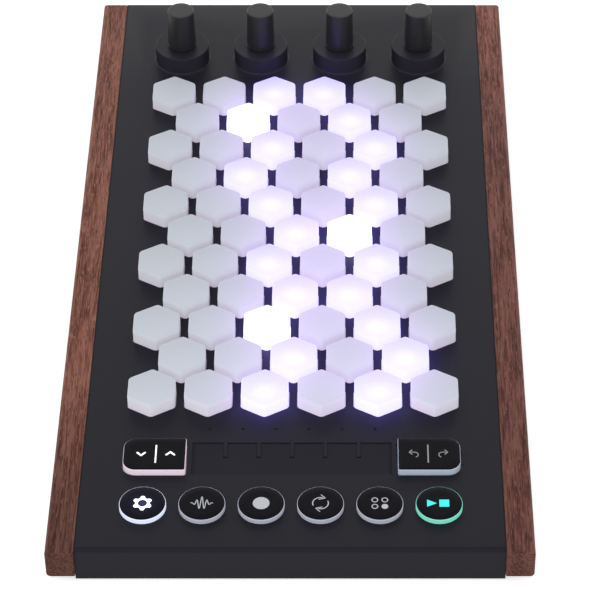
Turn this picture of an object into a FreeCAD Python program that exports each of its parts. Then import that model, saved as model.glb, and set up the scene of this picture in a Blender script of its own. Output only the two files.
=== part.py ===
import FreeCAD, Part
import math
import os

os.makedirs("parts", exist_ok=True)

# A desktop controller: a flat black case between two wooden cheeks, with a field of
# six-sided keys, four push-and-turn knobs at the rear, and a touch strip, two rocker
# buttons and a row of round buttons at the front. Millimetres, +Z up, +Y to the rear.
# The origin is on the table, in the middle of the whole object.

# Field of six-sided keys, point to point along Y
KEY_PITCH = 24.7
KEY_ROW_PITCH = 21.22
KEY_GAP = 4.05
KEY_ROWS = 11
KEYS_IN_LONG_ROW = 6
KEY_CORNER_R = 2.0
KEY_EDGE_R = 1.4
KEY_PROUD = 6.9
KEY_TRAVEL = 1.2
KEY_ROOF = 1.8
KEY_WALL = 1.6
KEY_LIP = 0.9
KEY_LIP_THICK = 1.2
STEM_R = 5.0

# Distances along the case, from its front face to its rear face
FRONT_TO_BUTTONS = 24.8
BUTTONS_TO_ROCKERS = 28.8
ROCKERS_TO_DOTS = 18.0
DOTS_TO_FIRST_KEYS = 19.5
LAST_KEYS_TO_KNOBS = 34.8
KNOBS_TO_REAR = 47.4

# Case shell
SIDE_MARGIN = 17.6
PANEL_THICK = 2.0
CASE_WALL = 2.2
CASE_EDGE_R = 2.0
POST_R = 3.5
SMALL_POST_R = 2.6

# Wooden cheeks
CHEEK_THICK = 12.0
CHEEK_FRONT_LEAD = 1.4
CHEEK_REAR_SETBACK = 1.1
CHEEK_LIFT = 2.5
CHEEK_TOP_R = 1.6
CHEEK_BOTTOM_R = 2.0
CHEEK_END_R = 0.6

# Layers inside the case, from the table upwards
FOOT_PROUD = 1.4
BASE_THICK = 2.0
BOARD_STANDOFF = 2.6
BOARD_THICK = 1.6
MAT_THICK = 0.8
DOME_HEIGHT = 2.2
STEM_BELOW_GUIDE = 0.7
GUIDE_THICK = 2.0

# Rubber domes that return the keys and buttons
DOME_BASE_R = 4.6
DOME_TOP_R = 3.2
DOME_SKIN = 0.7

# Round buttons
BUTTON_R = 9.85
BUTTON_PITCH = 24.9
BUTTON_COUNT = 6
BUTTON_PROUD = 2.3
BUTTON_LIP = 1.0
BUTTON_STEM_R = 3.6
FACE_INSET = 0.4
FACE_RAISE = 0.2

# Rocker buttons, one each side of the touch strip
ROCKER_WIDTH = 26.7
ROCKER_DEPTH = 19.3
ROCKER_PROUD = 2.8
ROCKER_OUTER_R = 5.6
ROCKER_INNER_R = 0.9
ROCKER_TILT_DEG = 3.5
ROCKER_SKIRT = 2.0
ROCKER_FOOT_X = 8.5
ROCKER_FOOT_R = 2.6
ROCKER_LUG_THICK = 2.4
ROCKER_LUG_Y = 6.4
ROCKER_PIN_R = 0.75
ROCKER_PIN_DROP = 2.1
ROCKER_EAR_THICK = 2.4
ROCKER_EAR_R = 1.7

# Touch strip between the rockers
STRIP_ZONES = 6
STRIP_ZONE = 14.27
STRIP_DEPTH = 19.2
STRIP_RECESS = 0.5
STRIP_SKIN = 0.25
STRIP_TO_ROCKER = 2.5
RIB_WIDTH = 1.2
RIB_LENGTH = 8.1

# Small indicator dots behind the touch strip
DOT_R = 0.7
LED_SIZE = 2.0
LED_HEIGHT = 0.8

# Knobs, their round bosses and the encoders inside them
KNOB_COUNT = 4
KNOB_PITCH = 39.4
KNOB_TOP_R = 6.5
KNOB_BOTTOM_R = 7.0
KNOB_HEIGHT = 20.1
KNOB_GAP = 0.7
KNOB_EDGE_R = 0.8
KNOB_FOOT_GROOVE = 0.35
BOSS_R = 13.3
BOSS_HEIGHT = 8.9
BOSS_RIM_R = 0.4
BOSS_ROOT_R = 1.0
ENCODER_WIDTH = 12.4
ENCODER_HEIGHT = 6.5
ENCODER_FLOOR = 1.0
ENCODER_ROOF = 1.2
ENCODER_BORE_R = 4.7
ENCODER_PUSH = 0.5
BUSHING_R = 3.5
BUSHING_OVER_NUT = 0.6
SHAFT_R = 2.5
SHAFT_FLAT = 0.7
SHAFT_GRIP = 10.0
ROTOR_R = 4.2
PLUNGER_R = 3.4
PLUNGER_THICK = 0.8
PLUNGER_PEG_R = 1.0
PLUNGER_PEG = 0.7
NUT_FLATS = 8.6
NUT_THICK = 1.8
WASHER_R = 4.8
WASHER_THICK = 0.5

# Rear sockets
SOCKET_PITCH = 12.2
CONTROL_SOCKETS = 3
CONTROL_SOCKET_X = 48.2
MIDI_SOCKETS = 2
MIDI_SOCKET_X = 14.1
SOCKET_BORE_R = 1.8
SOCKET_BORE_DEEP = 12.0
SOCKET_SLEEVE_R = 2.9
SOCKET_WIDTH = 6.4
SOCKET_BODY = 11.0
SOCKET_HEIGHT = 5.8
USB_X = -15.0
USB_WIDTH = 9.0
USB_HEIGHT = 3.3
USB_DEEP = 8.0
USB_SKIN = 0.3
USB_TONGUE = 0.7
USB_BACK = 1.0

# Boards and what stands on them
BOARD_SPLIT = 1.0
CHIP_SIZE = 8.0
PROCESSOR_SIZE = 12.0
CHIP_HEIGHT = 1.2
CHIP_FROM_EDGE = 8.0
FLEX_THICK = 0.3
FLEX_WIDTH = 14.0
FLEX_LAP = 12.0
FLEX_REAR_LAP = 6.0
HEADER_WIDTH = 24.0
HEADER_DEPTH = 5.0

# Feet and fasteners
FOOT_R = 7.0
FOOT_SEAT = 0.6
FOOT_FROM_SIDE = 20.0
FOOT_FROM_END = 22.0
SCREW_R = 1.3
SCREW_HEAD_R = 2.5
SCREW_HEAD = 1.5
SCREW_DRIVE = 0.8
SCREW_GRIP = 5.0
PILOT_ROOF = 0.5
INSERT_R = 2.2
INSERT_LENGTH = 6.0
CHEEK_SCREWS = 3
CHEEK_SCREW_FROM_END = 38.0

# Clearances
SLIDE_FIT = 0.06
SHAFT_FIT = 0.05
PIN_FIT = 0.05
HOLE_CLEAR = 0.3
REST_GAP = 0.3
STACK_GAP = 0.1
THREAD_CLEAR = 0.05
BOARD_CLEAR = 2.0
LID_CLEAR = 0.2

# How far a cutting shape runs past the face that it cuts
CUT = 1.0

# Widths and lengths worked out from the layout
KEY_FLATS = KEY_PITCH - KEY_GAP
FIELD_LENGTH = (KEY_ROWS - 1) * KEY_ROW_PITCH
FIELD_WIDTH = (KEYS_IN_LONG_ROW - 1) * KEY_PITCH + KEY_FLATS
CASE_WIDTH = FIELD_WIDTH + 2 * SIDE_MARGIN
CASE_LENGTH = (FRONT_TO_BUTTONS + BUTTONS_TO_ROCKERS + ROCKERS_TO_DOTS + DOTS_TO_FIRST_KEYS
               + FIELD_LENGTH + LAST_KEYS_TO_KNOBS + KNOBS_TO_REAR)
OVERALL_LENGTH = CHEEK_FRONT_LEAD + CASE_LENGTH
CASE_HALF = CASE_WIDTH / 2
INNER_HALF = CASE_HALF - CASE_WALL
BOARD_HALF = INNER_HALF - BOARD_CLEAR
FRONT_Y = CHEEK_FRONT_LEAD - OVERALL_LENGTH / 2
REAR_Y = FRONT_Y + CASE_LENGTH
BUTTON_Y = FRONT_Y + FRONT_TO_BUTTONS
ROCKER_Y = BUTTON_Y + BUTTONS_TO_ROCKERS
DOT_Y = ROCKER_Y + ROCKERS_TO_DOTS
FIRST_ROW_Y = DOT_Y + DOTS_TO_FIRST_KEYS
LAST_ROW_Y = FIRST_ROW_Y + FIELD_LENGTH
KNOB_Y = LAST_ROW_Y + LAST_KEYS_TO_KNOBS
STRIP_HALF = STRIP_ZONES * STRIP_ZONE / 2
ROCKER_X = STRIP_HALF + STRIP_TO_ROCKER + ROCKER_WIDTH / 2

# Heights worked out from the layers
CASE_Z = FOOT_PROUD
CHEEK_Z = CASE_Z + CHEEK_LIFT
BASE_TOP_Z = CASE_Z + BASE_THICK
BOARD_Z = BASE_TOP_Z + BOARD_STANDOFF
BOARD_TOP_Z = BOARD_Z + BOARD_THICK
MAT_TOP_Z = BOARD_TOP_Z + MAT_THICK
DOME_TOP_Z = MAT_TOP_Z + DOME_HEIGHT
STEM_Z = DOME_TOP_Z + REST_GAP
GUIDE_Z = STEM_Z + STEM_BELOW_GUIDE
GUIDE_TOP_Z = GUIDE_Z + GUIDE_THICK
LIP_Z = GUIDE_TOP_Z + REST_GAP + KEY_TRAVEL
LIP_TOP_Z = LIP_Z + KEY_LIP_THICK
PANEL_Z = LIP_TOP_Z + REST_GAP
PANEL_TOP_Z = PANEL_Z + PANEL_THICK
BOSS_TOP_Z = PANEL_TOP_Z + BOSS_HEIGHT
ENCODER_Z = PANEL_Z - REST_GAP
ENCODER_TOP_Z = ENCODER_Z + ENCODER_HEIGHT
NUT_TOP_Z = BOSS_TOP_Z + WASHER_THICK + NUT_THICK
BUSHING_TOP_Z = NUT_TOP_Z + BUSHING_OVER_NUT
KNOB_Z = BOSS_TOP_Z + KNOB_GAP
KNOB_TOP_Z = KNOB_Z + KNOB_HEIGHT
ROCKER_PIN_Z = PANEL_Z - ROCKER_PIN_DROP
ROCKER_CLEAR = (PANEL_TOP_Z - ROCKER_PIN_Z) * math.sin(math.radians(ROCKER_TILT_DEG)) + HOLE_CLEAR
CONNECTOR_TOP_Z = BOARD_Z

# Where the posts, screws and feet stand
POST_X = (FIELD_WIDTH / 2 + KEY_LIP + INNER_HALF) / 2
BASE_POSTS = [
    (side * POST_X, y)
    for side in (-1, 1)
    for y in (BUTTON_Y, FIRST_ROW_Y + 2 * KEY_ROW_PITCH, LAST_ROW_Y - 2 * KEY_ROW_PITCH,
              KNOB_Y + BOSS_R)
]
FIELD_POSTS = [
    (side * POST_X, y)
    for side in (-1, 1)
    for y in (FIRST_ROW_Y, FIRST_ROW_Y + FIELD_LENGTH / 2, LAST_ROW_Y)
]
STRIP_BACK_Y = ROCKER_Y + STRIP_DEPTH / 2
CONTROL_POSTS = [(x, (STRIP_BACK_Y + DOT_Y) / 2) for x in (-POST_X, 0.0, POST_X)]
CONTROL_POSTS.append((0.0, FRONT_Y + CASE_WALL + BOARD_CLEAR + 2 * SMALL_POST_R))
FEET = [
    (side * (CASE_HALF - FOOT_FROM_SIDE), y)
    for side in (-1, 1)
    for y in (FRONT_Y + FOOT_FROM_END, REAR_Y - FOOT_FROM_END)
]

# Outlines of the four boards, as (low x, low y, high x, high y)
KEY_HALF_LENGTH = (KEY_FLATS / 2 + KEY_LIP) * 2 / math.sqrt(3)
FIELD_FRONT_Y = FIRST_ROW_Y - KEY_HALF_LENGTH - REST_GAP
FIELD_REAR_Y = LAST_ROW_Y + KEY_HALF_LENGTH + REST_GAP
CONTROL_AREA = (-BOARD_HALF, FRONT_Y + CASE_WALL + BOARD_CLEAR,
                BOARD_HALF, FIELD_FRONT_Y - BOARD_SPLIT)
FIELD_AREA = (-BOARD_HALF, FIELD_FRONT_Y, BOARD_HALF, FIELD_REAR_Y)
ENCODER_AREA = (-(KNOB_COUNT - 1) * KNOB_PITCH / 2 - ENCODER_WIDTH, KNOB_Y - ENCODER_WIDTH,
                (KNOB_COUNT - 1) * KNOB_PITCH / 2 + ENCODER_WIDTH, KNOB_Y + BOSS_R)
CONNECTOR_AREA = (USB_X - 2 * USB_WIDTH, KNOB_Y, CONTROL_SOCKET_X + 2 * SOCKET_PITCH,
                  REAR_Y - CASE_WALL - REST_GAP)


def box(x0, y0, z0, x1, y1, z1):
    """A block between two corners."""
    return Part.makeBox(x1 - x0, y1 - y0, z1 - z0, FreeCAD.Vector(x0, y0, z0))


def rod(radius, x, y, z0, z1):
    """An upright cylinder from z0 to z1."""
    return Part.makeCylinder(radius, z1 - z0, FreeCAD.Vector(x, y, z0))


def rod_along(radius, start, direction, length):
    """A cylinder from a start point along any direction."""
    return Part.makeCylinder(radius, length, FreeCAD.Vector(*start), FreeCAD.Vector(*direction))


def moved(shape, x, y, z=0.0):
    """A copy of a shape, shifted."""
    copy = shape.copy()
    copy.translate(FreeCAD.Vector(x, y, z))
    return copy


def rounded_outline(corners, radii, z):
    """A closed flat outline: straight sides, and an arc of the given radius at each corner."""
    points = [FreeCAD.Vector(x, y, z) for x, y in corners]
    count = len(points)
    starts = []
    edges = []
    for i, radius in enumerate(radii):
        corner = points[i]
        to_last = (points[i - 1] - corner).normalize()
        to_next = (points[(i + 1) % count] - corner).normalize()
        half = to_last.getAngle(to_next) / 2
        reach = radius / math.tan(half)
        middle_way = (to_last + to_next).normalize()
        centre = corner + middle_way * (radius / math.sin(half))
        enter = corner + to_last * reach
        leave = corner + to_next * reach
        edges.append(Part.Arc(enter, centre - middle_way * radius, leave).toShape())
        starts.append((enter, leave))
    for i in range(count):
        edges.append(Part.LineSegment(starts[i][1], starts[(i + 1) % count][0]).toShape())
    return Part.Wire(Part.__sortEdges__(edges))


def prism(corners, radii, z0, z1):
    """A straight-sided block with a rounded outline, from z0 to z1."""
    face = Part.Face(rounded_outline(corners, radii, z0))
    return face.extrude(FreeCAD.Vector(0, 0, z1 - z0))


def hexagon(flats, corner_r, z0, z1):
    """A six-sided prism with points to the front and rear, measured across its flats."""
    radius = flats / math.sqrt(3)
    corners = [
        (radius * math.sin(math.radians(60 * i)), radius * math.cos(math.radians(60 * i)))
        for i in range(6)
    ]
    return prism(corners, [corner_r] * 6, z0, z1)


def rim_edges(shape, z):
    """The edges of a shape that lie flat at one height."""
    return [
        e for e in shape.Edges
        if abs(e.BoundBox.ZMin - z) < 0.001 and abs(e.BoundBox.ZMax - z) < 0.001
    ]


def group(solids):
    """Several separate solids kept in one node."""
    return Part.makeCompound(solids)


def row_centres(row):
    """The key centres of one row, counted from the rear; odd rows are the long ones."""
    count = KEYS_IN_LONG_ROW - row % 2
    y = LAST_ROW_Y - row * KEY_ROW_PITCH
    return [((i - (count - 1) / 2) * KEY_PITCH, y) for i in range(count)]


ALL_KEYS = [centre for row in range(KEY_ROWS) for centre in row_centres(row)]
BUTTONS = [((i - (BUTTON_COUNT - 1) / 2) * BUTTON_PITCH, BUTTON_Y) for i in range(BUTTON_COUNT)]
KNOBS = [((i - (KNOB_COUNT - 1) / 2) * KNOB_PITCH, KNOB_Y) for i in range(KNOB_COUNT)]
DOTS = [((i - (STRIP_ZONES - 1) / 2) * STRIP_ZONE, DOT_Y) for i in range(STRIP_ZONES)]
RIBS = [(i + 1 - STRIP_ZONES / 2) * STRIP_ZONE for i in range(STRIP_ZONES - 1)]
ROCKERS = [(-ROCKER_X, ROCKER_Y), (ROCKER_X, ROCKER_Y)]
ROCKER_FEET = [(x + side * ROCKER_FOOT_X, y) for x, y in ROCKERS for side in (-1, 1)]
CONTROL_SOCKET_XS = [
    CONTROL_SOCKET_X + (i - (CONTROL_SOCKETS - 1) / 2) * SOCKET_PITCH
    for i in range(CONTROL_SOCKETS)
]
MIDI_SOCKET_XS = [
    MIDI_SOCKET_X + (i - (MIDI_SOCKETS - 1) / 2) * SOCKET_PITCH for i in range(MIDI_SOCKETS)
]
CHEEK_SCREW_YS = [
    FRONT_Y + CHEEK_SCREW_FROM_END
    + i * (CASE_LENGTH - 2 * CHEEK_SCREW_FROM_END) / (CHEEK_SCREWS - 1)
    for i in range(CHEEK_SCREWS)
]
CHEEK_SCREW_Z = (BOARD_TOP_Z + GUIDE_Z) / 2
SOCKET_Z = CONNECTOR_TOP_Z + SOCKET_HEIGHT / 2


def key_shape():
    """One key: a hollow six-sided cap with a retaining lip, and a stem down its middle."""
    top_z = PANEL_TOP_Z + KEY_PROUD
    cap = hexagon(KEY_FLATS, KEY_CORNER_R, LIP_Z, top_z)
    cap = cap.makeFillet(KEY_EDGE_R, rim_edges(cap, top_z))
    lip = hexagon(KEY_FLATS + 2 * KEY_LIP, KEY_CORNER_R, LIP_Z, LIP_TOP_Z)
    hollow = hexagon(KEY_FLATS - 2 * KEY_WALL, KEY_CORNER_R, STEM_Z,
                     top_z - KEY_ROOF)
    stem = rod(STEM_R, 0, 0, STEM_Z, top_z - KEY_ROOF / 2)
    return cap.fuse(lip).cut(hollow).fuse(stem).removeSplitter()


def button_shape():
    """One round button: a drum with a retaining lip, a stem and a slightly raised face."""
    face_z = PANEL_TOP_Z + BUTTON_PROUD - FACE_RAISE
    drum = rod(BUTTON_R, 0, 0, LIP_Z, face_z)
    drum = drum.makeFillet(FACE_RAISE, rim_edges(drum, face_z))
    lip = rod(BUTTON_R + BUTTON_LIP, 0, 0, LIP_Z, LIP_TOP_Z)
    hollow = rod(BUTTON_R - KEY_WALL, 0, 0, LIP_Z - CUT, face_z - KEY_ROOF)
    stem = rod(BUTTON_STEM_R, 0, 0, STEM_Z, face_z - KEY_ROOF / 2)
    face = rod(BUTTON_R - FACE_INSET, 0, 0, face_z - FACE_RAISE, face_z + FACE_RAISE)
    return drum.fuse([lip]).cut(hollow).fuse([stem, face]).removeSplitter()


def rocker_prism(side, grow, z0, z1):
    """The D-shaped rocker outline, grown by an amount; side is -1 at the left, 1 at the right."""
    half = ROCKER_WIDTH / 2 + grow
    deep = ROCKER_DEPTH / 2 + grow
    corners = [(-half, -deep), (half, -deep), (half, deep), (-half, deep)]
    outer = ROCKER_OUTER_R + grow
    inner = ROCKER_INNER_R + max(grow, 0.0)
    radii = [outer, inner, inner, outer] if side < 0 else [inner, outer, outer, inner]
    return prism(corners, radii, z0, z1)


def rocker_shape(side):
    """One rocker: a hollow D-shaped cap with two feet, and two lugs bored for its pin."""
    face_z = PANEL_TOP_Z + ROCKER_PROUD - FACE_RAISE
    skirt_z = PANEL_TOP_Z - ROCKER_SKIRT
    roof_z = face_z - KEY_ROOF
    cap = rocker_prism(side, 0.0, skirt_z, face_z)
    cap = cap.makeFillet(FACE_RAISE, rim_edges(cap, face_z))
    hollow = rocker_prism(side, -KEY_WALL, skirt_z - CUT, roof_z)
    face = rocker_prism(side, -FACE_INSET, face_z - FACE_RAISE, face_z + FACE_RAISE)
    pieces = [face]
    for end in (-1, 1):
        pieces.append(rod(ROCKER_FOOT_R, end * ROCKER_FOOT_X, 0, STEM_Z, roof_z + FACE_RAISE))
        y = end * ROCKER_LUG_Y
        half = ROCKER_LUG_THICK / 2
        lug = box(-ROCKER_EAR_R, y - half, ROCKER_PIN_Z, ROCKER_EAR_R, y + half,
                  roof_z + FACE_RAISE)
        round_end = rod_along(ROCKER_EAR_R, (0, y - half, ROCKER_PIN_Z), (0, 1, 0),
                              ROCKER_LUG_THICK)
        pieces += [lug, round_end]
    bore = rod_along(ROCKER_PIN_R + PIN_FIT, (0, -ROCKER_DEPTH, ROCKER_PIN_Z), (0, 1, 0),
                     2 * ROCKER_DEPTH)
    return cap.cut(hollow).fuse(pieces).cut(bore).removeSplitter()


def rocker_pin_ends():
    """How far from the rocker's centre the ears stand, and where the pin ends."""
    ear_start = ROCKER_DEPTH / 2 + ROCKER_CLEAR + REST_GAP
    return ear_start, ear_start + ROCKER_EAR_THICK


def rocker_pins():
    """One steel pin under each rocker, held in the case's ears."""
    end = rocker_pin_ends()[1]
    return group([
        rod_along(ROCKER_PIN_R, (x, y - end, ROCKER_PIN_Z), (0, 1, 0), 2 * end)
        for x, y in ROCKERS
    ])


def knob_shape():
    """A smooth tapered knob, hollow below to clear the nut, bored to fit the flatted shaft."""
    body = Part.makeCone(KNOB_BOTTOM_R, KNOB_TOP_R, KNOB_HEIGHT,
                         FreeCAD.Vector(0, 0, KNOB_Z))
    body = body.makeFillet(KNOB_EDGE_R, rim_edges(body, KNOB_TOP_Z))
    ring = rod(KNOB_BOTTOM_R + CUT, 0, 0, KNOB_Z + KNOB_FOOT_GROOVE,
               KNOB_Z + 2 * KNOB_FOOT_GROOVE)
    ring = ring.cut(rod(KNOB_BOTTOM_R - KNOB_FOOT_GROOVE, 0, 0, KNOB_Z, KNOB_TOP_Z))
    hollow_r = NUT_FLATS / math.sqrt(3) + REST_GAP
    hollow = rod(hollow_r, 0, 0, KNOB_Z - CUT, knob_hollow_top())
    bore = shaft_section(SHAFT_FIT, knob_hollow_top() - REST_GAP,
                         knob_hollow_top() + SHAFT_GRIP + REST_GAP)
    return body.cut([ring, hollow, bore])


def knob_hollow_top():
    """The roof of the knob's hollow, which clears the bushing when the knob is pressed."""
    return BUSHING_TOP_Z + ENCODER_PUSH + REST_GAP


def shaft_section(grow, z0, z1):
    """The flatted part of the shaft, or with grow above zero the bore that takes it."""
    round_part = rod(SHAFT_R + grow, 0, 0, z0, z1)
    flat_x = SHAFT_R - SHAFT_FLAT + grow
    return round_part.cut(box(flat_x, -2 * SHAFT_R, z0 - CUT, 2 * SHAFT_R, 2 * SHAFT_R, z1 + CUT))


def rotor_z():
    """The underside of the rotor, on its plunger."""
    peg_z = ENCODER_Z + ENCODER_FLOOR + REST_GAP + ENCODER_PUSH
    return peg_z + PLUNGER_PEG + PLUNGER_THICK + STACK_GAP


def shaft_shape():
    """The encoder shaft: a rotor disc, a round journal in the bushing, and the flatted end."""
    rotor = rod(ROTOR_R, 0, 0, rotor_z(), ENCODER_TOP_Z - ENCODER_ROOF - REST_GAP)
    journal = rod(SHAFT_R, 0, 0, rotor_z(), BUSHING_TOP_Z)
    grip = shaft_section(0.0, BUSHING_TOP_Z, knob_hollow_top() + SHAFT_GRIP)
    return rotor.fuse([journal, grip]).removeSplitter()


def plunger_shape():
    """The disc that the shaft presses down, with the peg that closes the push switch."""
    top = rotor_z() - STACK_GAP
    disc = rod(PLUNGER_R, 0, 0, top - PLUNGER_THICK, top)
    peg = rod(PLUNGER_PEG_R, 0, 0, top - PLUNGER_THICK - PLUNGER_PEG, top - PLUNGER_THICK)
    return disc.fuse(peg)


def encoder_housing():
    """One encoder: a square housing with a round chamber, and the bushing that holds it."""
    half = ENCODER_WIDTH / 2
    body = box(-half, -half, ENCODER_Z, half, half, ENCODER_TOP_Z)
    bushing = rod(BUSHING_R, 0, 0, ENCODER_TOP_Z - ENCODER_ROOF, BUSHING_TOP_Z)
    chamber = rod(ENCODER_BORE_R, 0, 0, ENCODER_Z + ENCODER_FLOOR,
                  ENCODER_TOP_Z - ENCODER_ROOF)
    bore = rod(SHAFT_R + SHAFT_FIT, 0, 0, ENCODER_Z + ENCODER_FLOOR,
               BUSHING_TOP_Z + CUT)
    return body.fuse(bushing).cut([chamber, bore])


def encoder_nut():
    """A six-sided nut on a washer, which clamps the encoder to its boss."""
    washer = rod(WASHER_R, 0, 0, BOSS_TOP_Z, BOSS_TOP_Z + WASHER_THICK)
    nut = hexagon(NUT_FLATS, SHAFT_FIT, BOSS_TOP_Z + WASHER_THICK, NUT_TOP_Z)
    hole = rod(BUSHING_R + THREAD_CLEAR, 0, 0, BOSS_TOP_Z - CUT, NUT_TOP_Z + CUT)
    return washer.fuse(nut).cut(hole)


def case_shell():
    """The open-bottomed box of the case, with its long front and rear edges rounded."""
    outer = box(-CASE_HALF, FRONT_Y, CASE_Z, CASE_HALF, REAR_Y, PANEL_TOP_Z)
    crease = [
        e for e in rim_edges(outer, PANEL_TOP_Z) if e.BoundBox.XLength > e.BoundBox.YLength
    ]
    outer = outer.makeFillet(CASE_EDGE_R, crease)
    inner = box(-INNER_HALF, FRONT_Y + CASE_WALL, CASE_Z - CUT,
                INNER_HALF, REAR_Y - CASE_WALL, PANEL_Z)
    return outer.cut(inner)


def case_boss():
    """One round boss: a rounded rim, and a small hollow curve where it meets the panel."""
    boss = rod(BOSS_R, 0, 0, PANEL_TOP_Z, BOSS_TOP_Z)
    boss = boss.makeFillet(BOSS_RIM_R, rim_edges(boss, BOSS_TOP_Z))
    root_r = BOSS_R + BOSS_ROOT_R
    root = rod(root_r, 0, 0, PANEL_TOP_Z, PANEL_TOP_Z + BOSS_ROOT_R)
    curve = Part.makeTorus(root_r, BOSS_ROOT_R,
                           FreeCAD.Vector(0, 0, PANEL_TOP_Z + BOSS_ROOT_R))
    return boss.fuse(root.cut(curve))


def strip_recess(z0, z1, shrink):
    """The touch strip's outline, with a rounded notch left open for each rib at the rear."""
    front_y = ROCKER_Y - STRIP_DEPTH / 2 + shrink
    rear_y = STRIP_BACK_Y - shrink
    area = box(-STRIP_HALF + shrink, front_y, z0, STRIP_HALF - shrink, rear_y, z1)
    ribs = []
    half = RIB_WIDTH / 2 + shrink
    tip_y = STRIP_BACK_Y - RIB_LENGTH
    for x in RIBS:
        ribs.append(box(x - half, tip_y, z0, x + half, STRIP_BACK_Y, z1))
        ribs.append(rod(half, x, tip_y, z0, z1))
    return area.cut(ribs)


def case_openings():
    """Everything that is cut through the panel and the rear wall."""
    z0 = PANEL_Z - CUT
    z1 = PANEL_TOP_Z + CUT
    key_hole = hexagon(KEY_FLATS + 2 * HOLE_CLEAR, KEY_CORNER_R + HOLE_CLEAR, z0, z1)
    tools = [moved(key_hole, x, y) for x, y in ALL_KEYS]
    tools += [rod(BUTTON_R + SLIDE_FIT, x, y, z0, z1) for x, y in BUTTONS]
    tools += [
        moved(rocker_prism(x, ROCKER_CLEAR, z0, z1), x, y) for x, y in ROCKERS
    ]
    tools += [rod(DOT_R + THREAD_CLEAR, x, y, z0, z1) for x, y in DOTS]
    tools.append(strip_recess(PANEL_TOP_Z - STRIP_RECESS, z1, 0.0))
    for x, y in KNOBS:
        chamber = ENCODER_WIDTH / 2 + HOLE_CLEAR
        tools.append(box(x - chamber, y - chamber, z0, x + chamber, y + chamber,
                         ENCODER_TOP_Z))
        tools.append(rod(BUSHING_R + THREAD_CLEAR, x, y, ENCODER_TOP_Z, BOSS_TOP_Z + CUT))
    rear_in = REAR_Y - CASE_WALL - CUT
    for x in CONTROL_SOCKET_XS + MIDI_SOCKET_XS:
        tools.append(rod_along(SOCKET_SLEEVE_R + LID_CLEAR, (x, rear_in, SOCKET_Z), (0, 1, 0),
                               CASE_WALL + 2 * CUT))
    tools.append(usb_block(LID_CLEAR, rear_in, REAR_Y + CUT))
    return tools


def usb_block(grow, y0, y1):
    """The rounded outline of the USB socket, grown by an amount, along Y."""
    half = USB_WIDTH / 2 + grow
    low = CONNECTOR_TOP_Z - grow
    high = CONNECTOR_TOP_Z + USB_HEIGHT + grow
    block = box(USB_X - half, y0, low, USB_X + half, y1, high)
    long_edges = [e for e in block.Edges if e.BoundBox.YLength > (y1 - y0) * 0.9]
    return block.makeFillet((high - low) / 3, long_edges)


def case_posts():
    """Posts under the panel for the base, field and control-board screws, and rocker ears."""
    posts = [rod(POST_R, x, y, BASE_TOP_Z, PANEL_Z) for x, y in BASE_POSTS]
    posts += [rod(SMALL_POST_R, x, y, GUIDE_TOP_Z, PANEL_Z) for x, y in FIELD_POSTS]
    posts += [rod(SMALL_POST_R, x, y, BOARD_TOP_Z, PANEL_Z) for x, y in CONTROL_POSTS]
    start, end = rocker_pin_ends()
    for x, y in ROCKERS:
        for side in (-1, 1):
            y0 = min(side * start, side * end)
            web = box(x - ROCKER_EAR_R, y + y0, ROCKER_PIN_Z, x + ROCKER_EAR_R,
                      y + y0 + ROCKER_EAR_THICK, PANEL_Z)
            tip = rod_along(ROCKER_EAR_R, (x, y + y0, ROCKER_PIN_Z), (0, 1, 0),
                            ROCKER_EAR_THICK)
            posts += [web, tip]
    return posts


def case_pilots():
    """The screw holes in the posts and side walls, and the pin bores in the ears."""
    pilot = SCREW_R + THREAD_CLEAR
    tools = [rod(pilot, x, y, BASE_TOP_Z - CUT, PANEL_Z) for x, y in BASE_POSTS]
    tools += [rod(pilot, x, y, GUIDE_TOP_Z - CUT, PANEL_Z) for x, y in FIELD_POSTS]
    tools += [
        rod(pilot, x, y, BOARD_TOP_Z - CUT, BOARD_TOP_Z + SCREW_GRIP) for x, y in CONTROL_POSTS
    ]
    end = rocker_pin_ends()[1]
    for x, y in ROCKERS:
        tools.append(rod_along(ROCKER_PIN_R, (x, y - end, ROCKER_PIN_Z), (0, 1, 0), 2 * end))
    for y in CHEEK_SCREW_YS:
        tools.append(rod_along(pilot, (-CASE_HALF - CUT, y, CHEEK_SCREW_Z), (1, 0, 0),
                               CASE_WIDTH + 2 * CUT))
    return tools


def top_case():
    """The black case: panel, walls, knob bosses, posts and every opening."""
    case = case_shell().fuse([moved(case_boss(), x, y) for x, y in KNOBS] + case_posts())
    return case.cut(case_openings() + case_pilots()).removeSplitter()


def base_cover():
    """The flat plate that closes the case from below, with standoffs for the rear board."""
    half = INNER_HALF - LID_CLEAR
    y0 = FRONT_Y + CASE_WALL + LID_CLEAR
    y1 = REAR_Y - CASE_WALL - LID_CLEAR
    plate = box(-half, y0, CASE_Z, half, y1, BASE_TOP_Z)
    plate = plate.fuse([
        rod(SMALL_POST_R, x, y, BASE_TOP_Z, CONNECTOR_TOP_Z - BOARD_THICK)
        for x, y in connector_screws()
    ])
    tools = []
    for x, y in BASE_POSTS:
        tools.append(rod(SCREW_R + LID_CLEAR, x, y, CASE_Z - CUT, BASE_TOP_Z + CUT))
        tools.append(Part.makeCone(SCREW_HEAD_R + LID_CLEAR, SCREW_R + LID_CLEAR, SCREW_HEAD,
                                   FreeCAD.Vector(x, y, CASE_Z)))
    for x, y in connector_screws():
        tools.append(rod(SCREW_R + THREAD_CLEAR, x, y, CASE_Z + PILOT_ROOF,
                         CONNECTOR_TOP_Z))
    for x, y in FEET:
        tools.append(rod(FOOT_R + LID_CLEAR, x, y, CASE_Z - CUT, CASE_Z + FOOT_SEAT))
    return plate.cut(tools)


def connector_screws():
    """The screw places near the corners of the rear connector board."""
    x0, y0, x1, y1 = CONNECTOR_AREA
    reach = SMALL_POST_R + REST_GAP
    return [(x0 + reach, y0 + reach), (x1 - reach, y0 + reach),
            (x0 + reach, y1 - reach), (x1 - reach, y1 - reach)]


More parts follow.
